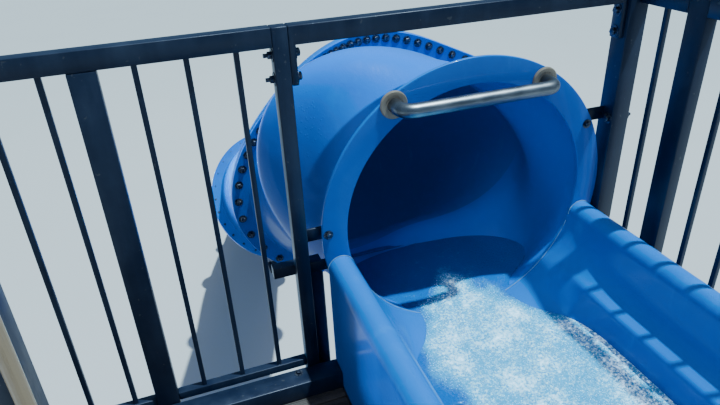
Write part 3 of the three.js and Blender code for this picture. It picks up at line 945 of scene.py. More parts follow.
class ShellRule(Rule):
    """Sweeps a closed profile round and along a curved line.

    The object's points are the profile: X is the offset from the skin, Y the place along.
    """

    def __init__(self) -> None:
        """Build the tree."""
        inputs = {"Start": Vector, "Start Handle": Vector, "End Handle": Vector, "End": Vector,
                  "Length": float, "Sides": int, "Radius": float, **self.OVAL, "Settle": float,
                  "Finish": bpy.types.Material}
        super().__init__("bent_shell", inputs)
        points = Num(self, self.node("GeometryNodeAttributeDomainSize", None,
                                     {0: self.given.outputs[0]}).outputs["Point Count"])
        sides = self.value("Sides")
        grid = self.node("GeometryNodeMeshGrid", None, {
            "Size X": 1.0, "Size Y": 1.0, "Vertices X": sides + 1, "Vertices Y": points + 1})
        corner = self.split(self.node("GeometryNodeInputPosition").outputs[0])
        column = self.math("ROUND", (corner[0] + 0.5) * sides)
        row = self.math("ROUND", (corner[1] + 0.5) * points)
        sample = self.node("GeometryNodeSampleIndex", {"data_type": "FLOAT_VECTOR", "domain": "POINT"}, {
            "Geometry": self.given.outputs[0], "Index": self.math("FLOORED_MODULO", row, points)})
        spot = self.node("GeometryNodeInputPosition").outputs[0]
        self.tree.links.new(spot, sample.inputs["Value"])
        offset, along, _ = self.split(sample.outputs[0])
        share = self.clamp(along / self.value("Length"))
        place, tangent = self.follow(share)
        angle = self.math("FLOORED_MODULO", column, sides) / sides * (2 * math.pi)
        oval = self.oval(angle)
        settled = self.node("ShaderNodeMapRange", {"interpolation_type": "SMOOTHSTEP"}, {
            0: share, 1: 0.0, 2: self.value("Settle"), 3: 0.0, 4: 1.0})
        rounded = Num(self, settled.outputs[0])
        radius = offset + oval * (1.0 - rounded) + self.value("Radius") * rounded
        side = self.vector("NORMALIZE", self.vector("CROSS_PRODUCT", tangent, (0.0, 0.0, 1.0)))
        up = self.vector("CROSS_PRODUCT", side, tangent)
        out = self.vector("ADD", self.vector("SCALE", side, radius * self.math("COSINE", angle)),
                          self.vector("SCALE", up, radius * self.math("SINE", angle)))
        moved = self.node("GeometryNodeSetPosition", None, {
            "Geometry": grid.outputs[0], "Position": self.vector("ADD", place, out)})
        closed = self.node("GeometryNodeMergeByDistance", None, {
            "Geometry": moved.outputs[0], "Distance": 1e-5})
        self.close(closed.outputs[0])

    def follow(self, share: Num) -> tuple[bpy.types.NodeSocket, bpy.types.NodeSocket]:
        """Place and direction on the line.

        Args:
            share: Share of the line's length.

        Returns:
            The place and the unit direction.
        """
        line = self.node("GeometryNodeCurvePrimitiveBezierSegment", {"mode": "POSITION"}, {
            "Resolution": 96, "Start": self.value("Start"), "Start Handle": self.value("Start Handle"),
            "End Handle": self.value("End Handle"), "End": self.value("End")})
        sample = self.node("GeometryNodeSampleCurve", {"mode": "FACTOR"}, {
            "Curves": line.outputs[0], "Factor": share})
        return sample.outputs["Position"], sample.outputs["Tangent"]


class RingRule(Rule):
    """Repeats a fastener round an oval flange, standing off its face."""

    def __init__(self) -> None:
        """Build the tree."""
        inputs = {"Count": int, "Centre": Vector, "Side": Vector, "Up": Vector, "Facing": Vector,
                  **self.OVAL, "Rim": float, "Phase": float, "Gather": float, "Gather At": float,
                  "Seed": int, "Finish": bpy.types.Material}
        super().__init__("flange_fasteners", inputs)
        count = self.value("Count")
        line = self.node("GeometryNodeMeshLine", None, {"Count": count})
        even = self.index / count * (2 * math.pi) + self.value("Phase")
        angle = even + self.math("COSINE", even - self.value("Gather At")) * self.value("Gather")
        radius = self.oval(angle) + self.value("Rim")
        aside = self.vector("SCALE", self.value("Side"), radius * self.math("COSINE", angle))
        above = self.vector("SCALE", self.value("Up"), radius * self.math("SINE", angle))
        reach = self.vector("ADD", aside, above)
        moved = self.node("GeometryNodeSetPosition", None, {
            "Geometry": line.outputs[0], "Position": self.vector("ADD", self.value("Centre"), reach)})
        spin = self.node("FunctionNodeRandomValue", {"data_type": "FLOAT"}, {
            2: 0.0, 3: math.pi / 3, "Seed": self.value("Seed")})
        turn = self.node("FunctionNodeAxisAngleToRotation", None, {
            "Axis": (0.0, 0.0, 1.0), "Angle": spin.outputs[1]})
        aimed = self.node("FunctionNodeAlignRotationToVector", {"axis": "Z"}, {
            "Rotation": turn.outputs[0], "Vector": self.value("Facing")})
        copies = self.node("GeometryNodeInstanceOnPoints", None, {
            "Points": moved.outputs[0], "Instance": self.given.outputs[0], "Rotation": aimed.outputs[0]})
        self.close(copies.outputs[0])


class RowsRule(Rule):
    """Repeats an object in rows, with a small seeded shift of each copy."""

    def __init__(self) -> None:
        """Build the tree."""
        inputs = {"Rows": int, "Row Step": Vector, "Columns": int, "Column Step": Vector,
                  "Shift": Vector, "Seed": int, "Finish": bpy.types.Material}
        super().__init__("rows_of_copies", inputs)
        down = self.node("GeometryNodeMeshLine", None, {
            "Count": self.value("Rows"), "Offset": self.value("Row Step")})
        across = self.node("GeometryNodeMeshLine", None, {
            "Count": self.value("Columns"), "Offset": self.value("Column Step")})
        field_points = self.node("GeometryNodeInstanceOnPoints", None, {
            "Points": down.outputs[0], "Instance": across.outputs[0]})
        real = self.node("GeometryNodeRealizeInstances", None, {0: field_points.outputs[0]})
        copies = self.node("GeometryNodeInstanceOnPoints", None, {
            "Points": real.outputs[0], "Instance": self.given.outputs[0]})
        shift = self.node("FunctionNodeRandomValue", {"data_type": "FLOAT_VECTOR"}, {
            0: (-1.0, -1.0, -1.0), 1: (1.0, 1.0, 1.0), "Seed": self.value("Seed")})
        moved = self.node("GeometryNodeTranslateInstances", None, {
            "Instances": copies.outputs[0],
            "Translation": self.vector("MULTIPLY", shift.outputs[0], self.value("Shift"))})
        self.close(moved.outputs[0])


@dataclass(frozen=True)
class Rules:
    """The geometry node trees, built once."""

    shell: ShellRule
    ring: RingRule
    rows: RowsRule

    @classmethod
    def built(cls) -> "Rules":
        """Build the trees."""
        return cls(ShellRule(), RingRule(), RowsRule())


@dataclass(frozen=True)
class Oval:
    """An oval round a centre, in the plane across the slide, with a lobe in three directions."""

    x: float
    z: float
    major: float
    minor: float
    turn: float = 0.0
    lobe: float = 0.0
    lobe_turn: float = 0.0

    def radius(self, angle: float) -> float:
        """Radius at an angle from +X towards +Z."""
        local = angle - self.turn
        return (self.lobe * math.cos(3 * (angle - self.lobe_turn))
                + 1.0 / math.hypot(math.cos(local) / self.major, math.sin(local) / self.minor))

    def inputs(self) -> dict[str, float]:
        """The oval as inputs of a rule."""
        return {"Major": self.major, "Minor": self.minor, "Turn": self.turn,
                "Lobe": self.lobe, "Lobe_Turn": self.lobe_turn}


@dataclass(frozen=True)
class Joint:
    """Where two tube sections meet: a place and a direction."""

    x: float
    y: float
    z: float
    yaw: float
    fall: float

    def direction(self) -> Vector:
        """Unit direction of the slide there."""
        yaw, fall = math.radians(self.yaw), math.radians(self.fall)
        return Vector((math.sin(yaw) * math.cos(fall), math.cos(yaw) * math.cos(fall), -math.sin(fall)))


@dataclass(frozen=True)
class Line:
    """A curved centre line between two joints, in the part's frame."""

    start: Vector
    start_handle: Vector
    end_handle: Vector
    end: Vector

    @classmethod
    def between(cls, datum: Datum, first: Joint, last: Joint) -> "Line":
        """The line that leaves one joint and meets the next.

        Args:
            datum: The deck's frame.
            first: The joint that it leaves.
            last: The joint that it meets.

        Returns:
            The line.
        """
        start, end = datum.at(first.x, first.y, first.z), datum.at(last.x, last.y, last.z)
        reach = (end - start).length / 3
        return cls(start, start + first.direction() * reach, end - last.direction() * reach, end)

    def point(self, t: float) -> Vector:
        """A point of the curve."""
        return (self.start * (1 - t) ** 3 + self.start_handle * (3 * t * (1 - t) ** 2)
                + self.end_handle * (3 * t * t * (1 - t)) + self.end * t ** 3)

    def length(self) -> float:
        """Length of the curve."""
        points = [self.point(step / 200) for step in range(201)]
        return sum((b - a).length for a, b in zip(points, points[1:]))


MOUTH = Oval(0.509, 0.484, 0.375, 0.375)
SWELL = Oval(0.431, 0.459, 0.560, 0.385, math.radians(137))
SEAM = Oval(0.446, 0.466, 0.525, 0.357, math.radians(3.5), 0.036, math.radians(105))
JOINTS = (Joint(0.446, 0.450, 0.466, 0, 0), Joint(0.495, 1.230, 0.000, -4, 40),
          Joint(0.370, 2.400, -0.610, -7, 38), Joint(0.460, 3.300, -1.100, 6, 25),
          Joint(0.580, 4.300, -1.520, 11, 24), Joint(0.735, 5.000, -1.815, 15, 20),
          Joint(0.930, 5.700, -1.980, 20, 0))


@dataclass(frozen=True)
class Flange:
    """Sizes of the bolted flanges and of the shell."""

    radius: float = 0.395
    wall: float = 0.010
    rim: float = 0.065
    thick: float = 0.014
    fillet: float = 0.010
    edge: float = 0.002
    bolts: int = 30

    def turn_in(self, at: float, way: float) -> list[Pair]:
        """Profile of one flange from its outer face to the skin.

        Args:
            at: Place of the outer face.
            way: 1 when the shell lies beyond it, -1 when it lies before.

        Returns:
            Offsets and places.
        """
        inner = at + way * self.thick
        points = [(self.rim - self.edge, at), (self.rim, at + way * self.edge),
                  (self.rim, inner - way * self.edge), (self.rim - self.edge, inner)]
        for step in range(5):
            angle = math.pi / 2 * step / 4
            points.append((self.fillet * (1 - math.sin(angle)),
                           inner + way * self.fillet * (1 - math.cos(angle))))
        return points


@dataclass
class TubeRun:
    """The six flanged sections that carry the slide down, made by the shell rule."""

    datum: Datum
    rules: Rules
    palette: Palette
    flange: Flange = field(default_factory=Flange)
    sides: int = 128
    rows: int = 26
    inner_rows: int = 20
    ease: float = 0.006

    def profile(self, length: float) -> list[Pair]:
        """Closed profile of a section.

        Args:
            length: Length along the centre line.

        Returns:
            Offsets from the skin and places along.
        """
        flange = self.flange
        first, last = HALF_GAP, length - HALF_GAP
        start, end = flange.turn_in(first, 1.0), flange.turn_in(last, -1.0)
        margin = flange.thick + flange.fillet + self.ease
        outer = [(0.0, mix(margin, length - margin, step / self.rows)) for step in range(self.rows + 1)]
        inner = [(-flange.wall, mix(first, last, step / self.inner_rows))
                 for step in range(self.inner_rows + 1)]
        return start + outer + end[::-1] + inner[::-1]

    def build(self) -> None:
        """Make the sections and deliver them."""
        for index in range(len(JOINTS) - 1):
            name = f"tube_section_{index + 1}"
            line = Line.between(self.datum, JOINTS[index], JOINTS[index + 1])
            length = line.length()
            points = [Vector((offset, along, 0.0)) for offset, along in self.profile(length)]
            piece = object_of(f"{name}_shell", points, [])
            start = SEAM if index == 0 else Oval(0.0, 0.0, self.flange.radius, self.flange.radius)
            self.rules.shell.run(
                piece, Start=line.start, Start_Handle=line.start_handle, End_Handle=line.end_handle,
                End=line.end, Length=length, Sides=self.sides, Radius=self.flange.radius, **start.inputs(),
                Settle=1.0, Finish=self.palette.gel_coat)
            deliver(tidy(piece), self.palette.gel_coat, [name])


@dataclass
class Mouth:
    """The round mouth plate and the sealant bead at its foot."""

    datum: Datum
    rules: Rules
    palette: Palette
    outer: float = 0.448
    thick: float = 0.012
    edge: float = 0.003
    sides: int = 256
    bead_radius: float = 0.3745
    bead_at: float = -0.0122
    bead_arc: Pair = (-161.0, -19.0)
    bead_size: float = 0.0013
    bead_wobble: float = 0.0006
    bead_steps: int = 120

    def ring(self) -> None:
        """The plate, with softened edges."""
        width = self.outer - MOUTH.major
        profile: list[Pair] = []
        corners = [(0.0, 0.0), (width, 0.0), (width, self.thick), (0.0, self.thick)]
        for corner, (u, v) in enumerate(corners):
            cu = u + (self.edge if u == 0.0 else -self.edge)
            cv = v + (self.edge if v == 0.0 else -self.edge)
            for step in range(5):
                angle = math.pi + math.pi / 2 * (corner + step / 4)
                profile.append((cu + self.edge * math.cos(angle), cv + self.edge * math.sin(angle)))
        piece = object_of("mouth_plate", [Vector((u, v, 0.0)) for u, v in profile], [])
        start = self.datum.at(MOUTH.x, -self.thick, MOUTH.z)
        end = self.datum.at(MOUTH.x, 0.0, MOUTH.z)
        self.rules.shell.run(
            piece, Start=start, Start_Handle=start.lerp(end, 1 / 3), End_Handle=start.lerp(end, 2 / 3),
            End=end, Length=self.thick, Sides=self.sides, Radius=MOUTH.major, **MOUTH.inputs(), Settle=1.0,
            Finish=self.palette.gel_coat)
        deliver(tidy(piece), self.palette.gel_coat, ["mouth_ring"])

    def bead(self) -> None:
        """Thin bead where the tub's floor meets the plate."""
        rows = []
        for step in range(self.bead_steps + 1):
            angle = math.radians(mix(*self.bead_arc, step / self.bead_steps))
            centre = self.datum.at(MOUTH.x + self.bead_radius * math.cos(angle), self.bead_at,
                                   MOUTH.z + self.bead_radius * math.sin(angle))
            out = Vector((math.cos(angle), 0.0, math.sin(angle)))
            radius = self.bead_size + self.bead_wobble * noise.noise(centre * 30.0)
            rows.append(circle(centre, out, BACK, radius, 8))
        deliver(tidy(lattice("mouth_sealant", rows, caps=True)), self.palette.sealant)

    def build(self) -> None:
        """Make and deliver the plate and bead."""
        self.ring()
        self.bead()


@dataclass
class EntryElbow:
    """The bulging shell from the round mouth to the oval seam on its left."""

    datum: Datum
    palette: Palette
    flange: Flange = field(default_factory=lambda: Flange(wall=0.018))
    length: float = 0.450
    swell_at: float = 0.210
    lip: float = 0.035
    sides: int = 192
    rows: int = 60
    inner_rows: int = 40
    clear: float = 0.030
    run_in: float = 0.026
    run_out: float = 0.004
    inner_from: float = 0.006

    def ring(self, y: float, angle: float) -> tuple[float, float, float]:
        """Centre and skin radius of a section.

        Args:
            y: Distance behind the mouth plate.
            angle: Angle in the section.

        Returns:
            x, z and radius.
        """
        first = smooth(y, 0.0, self.swell_at)
        second = smooth(y, self.swell_at, self.length)
        swollen = mix(MOUTH.major + self.clear, SWELL.radius(angle), first)
        return (mix(mix(MOUTH.x, SWELL.x, first), SEAM.x, second),
                mix(mix(MOUTH.z, SWELL.z, first), SEAM.z, second),
                mix(swollen, SEAM.radius(angle), second))

    def profile(self) -> list[Pair]:
        """Closed profile of the shell.

        Returns:
            Offsets from the skin and distances behind the plate.
        """
        wall, lip, end = self.flange.wall, self.lip, self.length - HALF_GAP
        entry = [(-wall, CLEARANCE), (lip - 0.002, CLEARANCE), (lip, 0.002), (lip, 0.008),
                 (lip - 0.002, 0.010), (0.008, 0.010), (0.002, 0.012), (0.0, 0.018)]
        margin = self.flange.thick + self.flange.fillet + self.run_out
        outer = [(0.0, mix(self.run_in, end - margin, step / self.rows)) for step in range(self.rows + 1)]
        inner = [(-wall, mix(end, self.inner_from, step / self.inner_rows))
                 for step in range(self.inner_rows + 1)]
        return entry + outer + self.flange.turn_in(end, -1.0)[::-1] + inner

    def build(self) -> None:
        """Make the shell and deliver it."""
        rows = []
        for offset, y in self.profile():
            row = []
            for side in range(self.sides):
                angle = 2 * math.pi * side / self.sides
                x, z, radius = self.ring(y, angle)
                row.append(self.datum.at(x + (radius + offset) * math.cos(angle), y,
                                         z + (radius + offset) * math.sin(angle)))
            rows.append(row)
        piece = lattice("entry_elbow_shell", rows, loop=True)
        # The elbow gets the lighter copy of the gel coat: painted sunlight.
        deliver(tidy(piece), self.palette.sunlit, ["entry_elbow"])


@dataclass
class StartTub:
    """The moulded tub: round at the mouth, then a flat channel between ledges.

    The ridge's place and top, the seat's height and depth, and the nose's width and drop are pairs.
    """

    datum: Datum
    palette: Palette
    half: float = 0.437
    rim: float = 0.420
    roll: float = 0.038
    wall: float = 0.012
    floor: float = 0.112
    ridge: Pair = (0.290, 0.241)
    settle: float = 0.340
    front: float = -0.0123
    length: float = 1.150
    seat: Pair = (0.230, 0.130)
    foot: float = 0.0006
    corner: Pair = (0.040, 0.038)
    lean: float = 0.004
    nose: Pair = (0.012, 0.014)
    ledge_rise: Pair = (0.003, 0.024)
    cove: float = 0.090
    tuck: float = 0.004
    sole: float = 0.006
    rear_inset: float = 0.002
    soft: float = 0.004
    fine: float = 0.003
    bead_off: float = 0.001
    bead_size: float = 0.0018

    def round_half(self, inset: float) -> list[Pair]:
        """Half of the round section, from its middle outwards.

        Args:
            inset: Depth below the skin.

        Returns:
            Offsets from the middle and heights.
        """
        edge = math.asin((self.half - 2 * self.roll) / MOUTH.major)
        radius = MOUTH.major + inset
        return [(radius * math.sin(edge * step / 60), MOUTH.z - radius * math.cos(edge * step / 60))
                for step in range(61)]

    def channel_half(self, inset: float) -> list[Pair]:
        """Half of the channel section, from its middle outwards.

        Args:
            inset: Depth below the skin.

        Returns:
            Offsets from the middle and heights.
        """
        face, top = self.ridge[0] + inset, self.ridge[1]
        wall = self.half - 2 * self.roll + inset
        low, foot = self.floor - inset, face - self.lean
        points = [(0.0, low), (face - self.corner[0], low)]
        points += bow(points[-1], (foot, low), (foot, self.floor + self.corner[1]))
        points.append((face, top - self.nose[1] - inset))
        points += bow(points[-1], (face, top - inset),
                      (face + self.nose[0], top + self.ledge_rise[0] - inset))
        points += bow(points[-1], (wall, top + self.ledge_rise[1] - inset), (wall, top + self.cove))
        return points + [(wall, self.rim - self.roll)]

    def half_at(self, y: float, inset: float, count: int) -> list[Pair]:
        """Half of the section at a distance, from its middle outwards.

        Args:
            y: Place along the tub.
            inset: Depth below the skin.
            count: Number of steps.

        Returns:
            Offsets from the middle and heights.
        """
        share = 1.0 - smooth(self.front - y, 0.0, self.settle)
        flat = spaced(self.channel_half(inset), count)
        bent = spaced(self.round_half(inset), count)
        return [(mix(a[0], b[0], share), mix(a[1], b[1], share)) for a, b in zip(flat, bent)]

    def rolled(self, radius: float, outwards: bool) -> list[Pair]:
        """Points over the rolled rim.

        Args:
            radius: Radius of the roll.
            outwards: Whether they go from the tub's inside outwards.

        Returns:
            Offsets from the middle and heights.
        """
        turns = [math.pi * step / 16 for step in range(17)]
        centre = self.half - self.roll
        points = [(centre + radius * math.cos(turn), self.rim - self.roll + radius * math.sin(turn))
                  for turn in turns]
        return points[::-1] if outwards else points

    def loop(self, y: float) -> list[Vector]:
        """Closed section of the shell at a distance.

        Args:
            y: Place along the tub.

        Returns:
            Points in the part's frame.
        """
        skin = self.half_at(y, 0.0, 72)[:-1] + self.rolled(self.roll, True) + [(self.half, self.foot)]
        inside = self.half - self.wall
        under = [(inside, self.foot)] + self.rolled(self.roll - self.wall, False)
        under += self.half_at(y, self.wall, 36)[::-1][1:]
        half = skin + under
        other = [(-u, v) for u, v in under[:-1][::-1]] + [(-u, v) for u, v in skin[1:][::-1]]
        return [self.datum.at(MOUTH.x + u, y, v) for u, v in half + other]

    def build(self) -> None:
        """Make the tub and deliver it."""
        rear = self.front - self.length
        places = [self.front - self.settle * step / 36 for step in range(37)]
        places += [mix(places[-1], rear, step / 12) for step in range(1, 13)]
        shell = lattice("tub_shell", [self.loop(y) for y in places], caps=True)
        left, right = MOUTH.x - self.ridge[0] - self.tuck, MOUTH.x + self.ridge[0] + self.tuck
        high, depth = self.seat
        low, end = self.floor - self.sole, rear + self.rear_inset
        at = self.datum.at
        plate = lattice("tub_end", [self.end_outline(end), self.end_outline(end + self.wall)], caps=True)
        seat = slab("tub_seat", at(left, end, high - self.wall), at(right, end + depth, high), self.soft)
        back = slab("tub_back", at(left, end, low), at(right, end + self.wall, high), self.fine)
        front = slab("tub_step", at(left, end + depth - self.wall, low), at(right, end + depth, high),
                     self.soft)
        piece = merged("tub_moulding", [tidy(shell), tidy(plate), tidy(seat), tidy(back), tidy(front)])
        deliver(piece, self.palette.gel_coat, ["start_tub"])
        self.rim_beads()

    def end_outline(self, y: float) -> list[Vector]:
        """Outline of the end plate, inside the shell.

        Args:
            y: Place along the tub.

        Returns:
            Points in the part's frame.
        """
        inset = self.wall / 2
        half = spaced(self.channel_half(inset), 60)[:-1] + self.rolled(self.roll - inset, True)
        half.append((self.half - inset, self.sole))
        return [self.datum.at(MOUTH.x + u, y, v) for u, v in half + [(-u, v) for u, v in half[1:][::-1]]]

    def rim_beads(self) -> None:
        """Beads of sealant where the rolled rims meet the mouth plate."""
        beads = []
        for way in (-1.0, 1.0):
            rows = []
            y = self.front + self.bead_off
            middle = self.datum.at(MOUTH.x + way * (self.half - self.roll), y, self.rim - self.roll)
            for u, v in self.rolled(self.roll + self.bead_off, True):
                centre = self.datum.at(MOUTH.x + way * u, y, v)
                rows.append(circle(centre, (centre - middle).normalized(), BACK, self.bead_size, 8))
            beads.append(tidy(lattice("rim_bead", rows, caps=True)))
        deliver(merged("rim_sealant", beads), self.palette.sealant)


@dataclass
class ExitTrough:
    """The open half round at the foot of the slide, with flat lips."""

    datum: Datum
    palette: Palette
    flange: Flange = field(default_factory=Flange)
    side: float = 0.090
    lip: float = 0.046
    length: float = 1.200
    soft: float = 0.003
    collar_drop: float = 0.004

    def section(self, collar: bool) -> list[Pair]:
        """Closed section of the trough or of its collar.

        Args:
            collar: Whether it is the collar's.

        Returns:
            Offsets to the right and upwards from the centre line.
        """
        wall = self.flange.wall
        outer = self.flange.radius + (self.flange.rim if collar else 0.0)
        inner = self.flange.radius - (wall / 2 if collar else wall)
        lip = 0.0 if collar else self.lip
        top = self.side - (self.collar_drop if collar else 0.0)
        soft = self.soft
        under = [(-outer - lip, top - soft), (-outer - lip + soft, top - wall)] if lip else []
        points = under + ([(-outer, top - wall)] if lip else [(-outer, top - soft)])
        points += [(outer * math.cos(turn), outer * math.sin(turn))
                   for turn in (math.pi + math.pi * step / 72 for step in range(73))]
        points += [(outer, top - wall)] if lip else [(outer, top - soft)]
        points += [(outer + lip - soft, top - wall), (outer + lip, top - soft)] if lip else []
        points += [(outer + lip - soft, top), (inner + soft, top), (inner, top - soft)]
        points += [(inner * math.cos(turn), inner * math.sin(turn))
                   for turn in (-math.pi * step / 72 for step in range(73))]
        return points + [(-inner, top - soft), (-inner - soft, top), (-outer - lip + soft, top)]

    def build(self) -> None:
        """Make the trough and deliver it."""
        last = JOINTS[-1]
        turn = Matrix.Rotation(-math.radians(last.yaw), 3, "Z")
        start = self.datum.at(last.x, last.y, last.z)
        pieces = []
        for collar, end, steps in ((False, self.length, 24), (True, self.flange.thick, 1)):
            rows = [[start + turn @ Vector((u, mix(HALF_GAP, end, step / steps), v))
                     for u, v in self.section(collar)] for step in range(steps + 1)]
            pieces.append(tidy(lattice("exit_part", rows, caps=True)))
        deliver(merged("exit_moulding", pieces), self.palette.gel_coat, ["exit_trough"])


@dataclass
class GrabBar:
    """The stainless bar over the mouth, with a round cover plate at each end."""

    datum: Datum
    palette: Palette
    left: float = 0.275
    right: float = 0.722
    height: float = 0.840
    out: float = 0.064
    face: float = -0.0123
    radius: float = 0.019
    bend: float = 0.040
    sink: float = 0.002
    bend_steps: int = 14
    steps: int = 160
    sides: int = 32
    cover_sides: int = 48
    cover: tuple[Pair, ...] = ((0.0, 0.0), (0.0375, 0.0), (0.038, 0.002), (0.0375, 0.0055), (0.035, 0.0078),
                               (0.027, 0.008), (0.0245, 0.0075), (0.0235, 0.0062), (0.0, 0.0062))

    def path(self) -> list[Pair]:
        """Centre line in plan.

        Returns:
            Corners and points of the two bends, from the left end.
        """
        far, low = self.face - self.out, self.face - self.sink
        points = [(self.left, low), (self.left, far + self.bend)]
        points += bow(points[-1], (self.left, far), (self.left + self.bend, far), self.bend_steps)
        points.append((self.right - self.bend, far))
        points += bow(points[-1], (self.right, far), (self.right, far + self.bend), self.bend_steps)
        return points + [(self.right, low)]

    def build(self) -> None:
        """Make the bar and its plates and deliver them."""
        line = spaced(self.path(), self.steps)
        rows = []
        for index, (x, y) in enumerate(line):
            before, after = line[max(0, index - 1)], line[min(len(line) - 1, index + 1)]
            along = Vector((after[0] - before[0], after[1] - before[1], 0.0)).normalized()
            side = Vector((along.y, -along.x, 0.0))
            rows.append(circle(self.datum.at(x, y, self.height), side, UP, self.radius, self.sides))
        bar = tidy(lattice("grab_bar_tube", rows, caps=True))
        deliver(bar, self.palette.stainless, ["grab_bar"])
        spots = [self.datum.at(x, self.face, self.height) for x in (self.left, self.right)]
        plates = [tidy(turned("cover", self.cover, spot, FRONT, self.cover_sides)) for spot in spots]
        deliver(merged("grab_bar_covers", plates), self.palette.cover)


@dataclass
class Steelwork:
    """Frame, posts, guards and stair: the solids with the rounded edges of rolled steel.

    Radii are in metres and angles in degrees.
    """

    palette: Palette
    nodes: dict[str, bpy.types.Object]
    fine: float = 0.0014
    plain: float = 0.0030
    heavy: float = 0.0050
    weld: float = 2e-5
    flat: float = 1.0
    sharp: float = 30.0
    shaded: float = 40.0

    def radius(self, name: str) -> float:
        """Edge radius of a solid, by its kind.

        Args:
            name: The node's name.

        Returns:
            The radius.
        """
        if name.startswith(("guard_", "stair_guard", "brace_", "beam_")):
            return self.fine
        if name.startswith(("column_", "slide_support", "post_front_left")):
            return self.heavy
        return self.plain

    def soften(self, name: str) -> bpy.types.Object:
        """Copy a solid and round its outer edges.

        Args:
            name: The node's name.

        Returns:
            The new object.
        """
        made = object_of(f"{name}_steel", [], [])
        shape = bmesh.new()
        shape.from_mesh(self.nodes[name].data)
        bmesh.ops.remove_doubles(shape, verts=shape.verts, dist=self.weld)
        bmesh.ops.dissolve_limit(shape, angle_limit=math.radians(self.flat), verts=shape.verts,
                                 edges=shape.edges)
        least = math.radians(self.sharp)
        edges = [edge for edge in shape.edges
                 if edge.is_manifold and edge.is_convex and edge.calc_face_angle(0.0) > least]
        bmesh.ops.bevel(shape, geom=edges, offset=self.radius(name), segments=2, profile=0.5,
                        affect="EDGES", clamp_overlap=True)
        shape.to_mesh(made.data)
        shape.free()
        for face in made.data.polygons:
            face.use_smooth = True
        made.data.set_sharp_from_angle(angle=math.radians(self.shaded))
        return made

    def build(self, names: Sequence[str]) -> None:
        """Make and deliver the named pieces."""
        for name in names:
            deliver(self.soften(name), self.palette.paint, [name])


@dataclass
class Deck:
    """Deck boards in two bays, with screws over the frame."""

    datum: Datum
    rules: Rules
    palette: Palette
    left: float = -0.840
    seam: float = 0.070
    right: float = 1.060
    front: float = 0.019
    pitch: float = 0.140
    gap: float = 0.006
    thick: float = 0.040
    count: int = 14
    sink: float = 0.0006
    seam_gap: float = 0.0015
    corner: float = 0.0035
    edge_inset: float = 0.04
    seam_inset: float = 0.03
    screw_inset: float = 0.030
    screw_step: float = 0.075
    screw_sink: float = 0.0008
    board_shift: Triple = (0.0, 0.0006, 0.0005)
    screw_shift: Triple = (0.002, 0.002, 0.0)
    screw: tuple[Pair, ...] = ((0.0, -0.004), (0.0042, -0.004), (0.0042, -0.0002), (0.0036, 0.0001),
                               (0.0022, 0.0001), (0.0018, -0.0012), (0.0, -0.0012))

    def build(self) -> None:
        """Lay the boards and the screws."""
        at = self.datum.at
        for name, low, high in (("deck_left", self.left, self.seam - self.seam_gap),
                                ("deck_right", self.seam + self.seam_gap, self.right)):
            board = slab(f"{name}_boards", at(low, self.front - self.pitch + self.gap, -self.thick),
                         at(high, self.front, -self.sink), self.corner)
            self.rules.rows.run(board, Rows=self.count, Row_Step=Vector((0, -self.pitch, 0)), Columns=1,
                                Column_Step=Vector(), Shift=Vector(self.board_shift), Seed=3,
                                Finish=self.palette.boards)
            deliver(tidy(board, 40), self.palette.boards, [name])
        self.screws()

    def screws(self) -> None:
        """Two screws in each board over each joist."""
        sets = []
        for x in (self.left + self.edge_inset, self.seam - self.seam_inset, self.seam + self.seam_inset,
                  self.right - self.edge_inset):
            spot = self.datum.at(x, self.front - self.screw_inset, -self.screw_sink)
            screw = tidy(turned("screw", self.screw, spot, UP, 12))
            sets.append(self.rules.rows.run(
                screw, Rows=self.count, Row_Step=Vector((0, -self.pitch, 0)), Columns=2,
                Column_Step=Vector((0, -self.screw_step, 0)), Shift=Vector(self.screw_shift), Seed=11,
                Finish=self.palette.zinc))
        deliver(merged("deck_screws", sets), self.palette.zinc)


@dataclass(frozen=True)
class HexShape:
    """Shape of a hexagon bolt or nut, as shares of half its width over the corners."""

    washer: float = 1.65
    under: float = 0.2
    chamfer: float = 0.82
    top: float = 1.14
    thread: float = 0.5
    nut: float = 1.1

    def make(self, name: str, size: float, stud: float = 0.0) -> bpy.types.Object:
        """A hexagon head or nut on a washer, standing along +Z from the origin.

        Args:
            name: The object's name.
            size: Half the width over the corners.
            stud: Length of thread that shows beyond the nut.

        Returns:
            The object.
        """
        wide, low, high = size * self.washer, size * self.under, size * self.top
        washer = [(0.0, 0.0), (wide, 0.0), (wide, low), (0.0, low)]
        head = [(0.0, low), (size, low), (size, size), (size * self.chamfer, high), (0.0, high)]
        parts = [tidy(turned("washer", washer, Vector(), UP, 14)),
                 tidy(turned("head", head, Vector(), UP, 6))]
        if stud:
            thin, end = size * self.thread, size * self.nut + stud
            rod = [(0.0, size), (thin, size), (thin, end), (0.0, end)]
            parts.append(tidy(turned("stud", rod, Vector(), UP, 10)))
        return merged(name, parts)


@dataclass(frozen=True)
class Bolt:
    """One bolt or nut on a post, bracket or kerb, placed in the deck's frame."""

    place: Triple
    facing: Vector
    size: float
    stud: float = 0.0


HEADER_BOLTS = tuple(bolt for height in (1.002, 0.945) for bolt in (
    Bolt((0.0353, 0.0, height), RIGHT, 0.010), Bolt((-0.0190, 0.0, height), LEFT, 0.010, 0.010),
    Bolt((0.9457, 0.0, height), LEFT, 0.010), Bolt((1.0220, 0.0, height), RIGHT, 0.010, 0.010)))
BRACKET_BOLTS = (
    Bolt((0.9620, -0.012, 0.690), LEFT, 0.010), Bolt((1.0220, -0.012, 0.690), RIGHT, 0.010, 0.008),
    Bolt((0.0785, -0.0120, 0.498), FRONT, 0.0085), Bolt((0.8880, -0.0120, 0.684), FRONT, 0.0085),
    Bolt((-0.0510, -0.0370, 0.0600), UP, 0.0080), Bolt((-0.4900, -0.0370, 0.0600), UP, 0.0080))


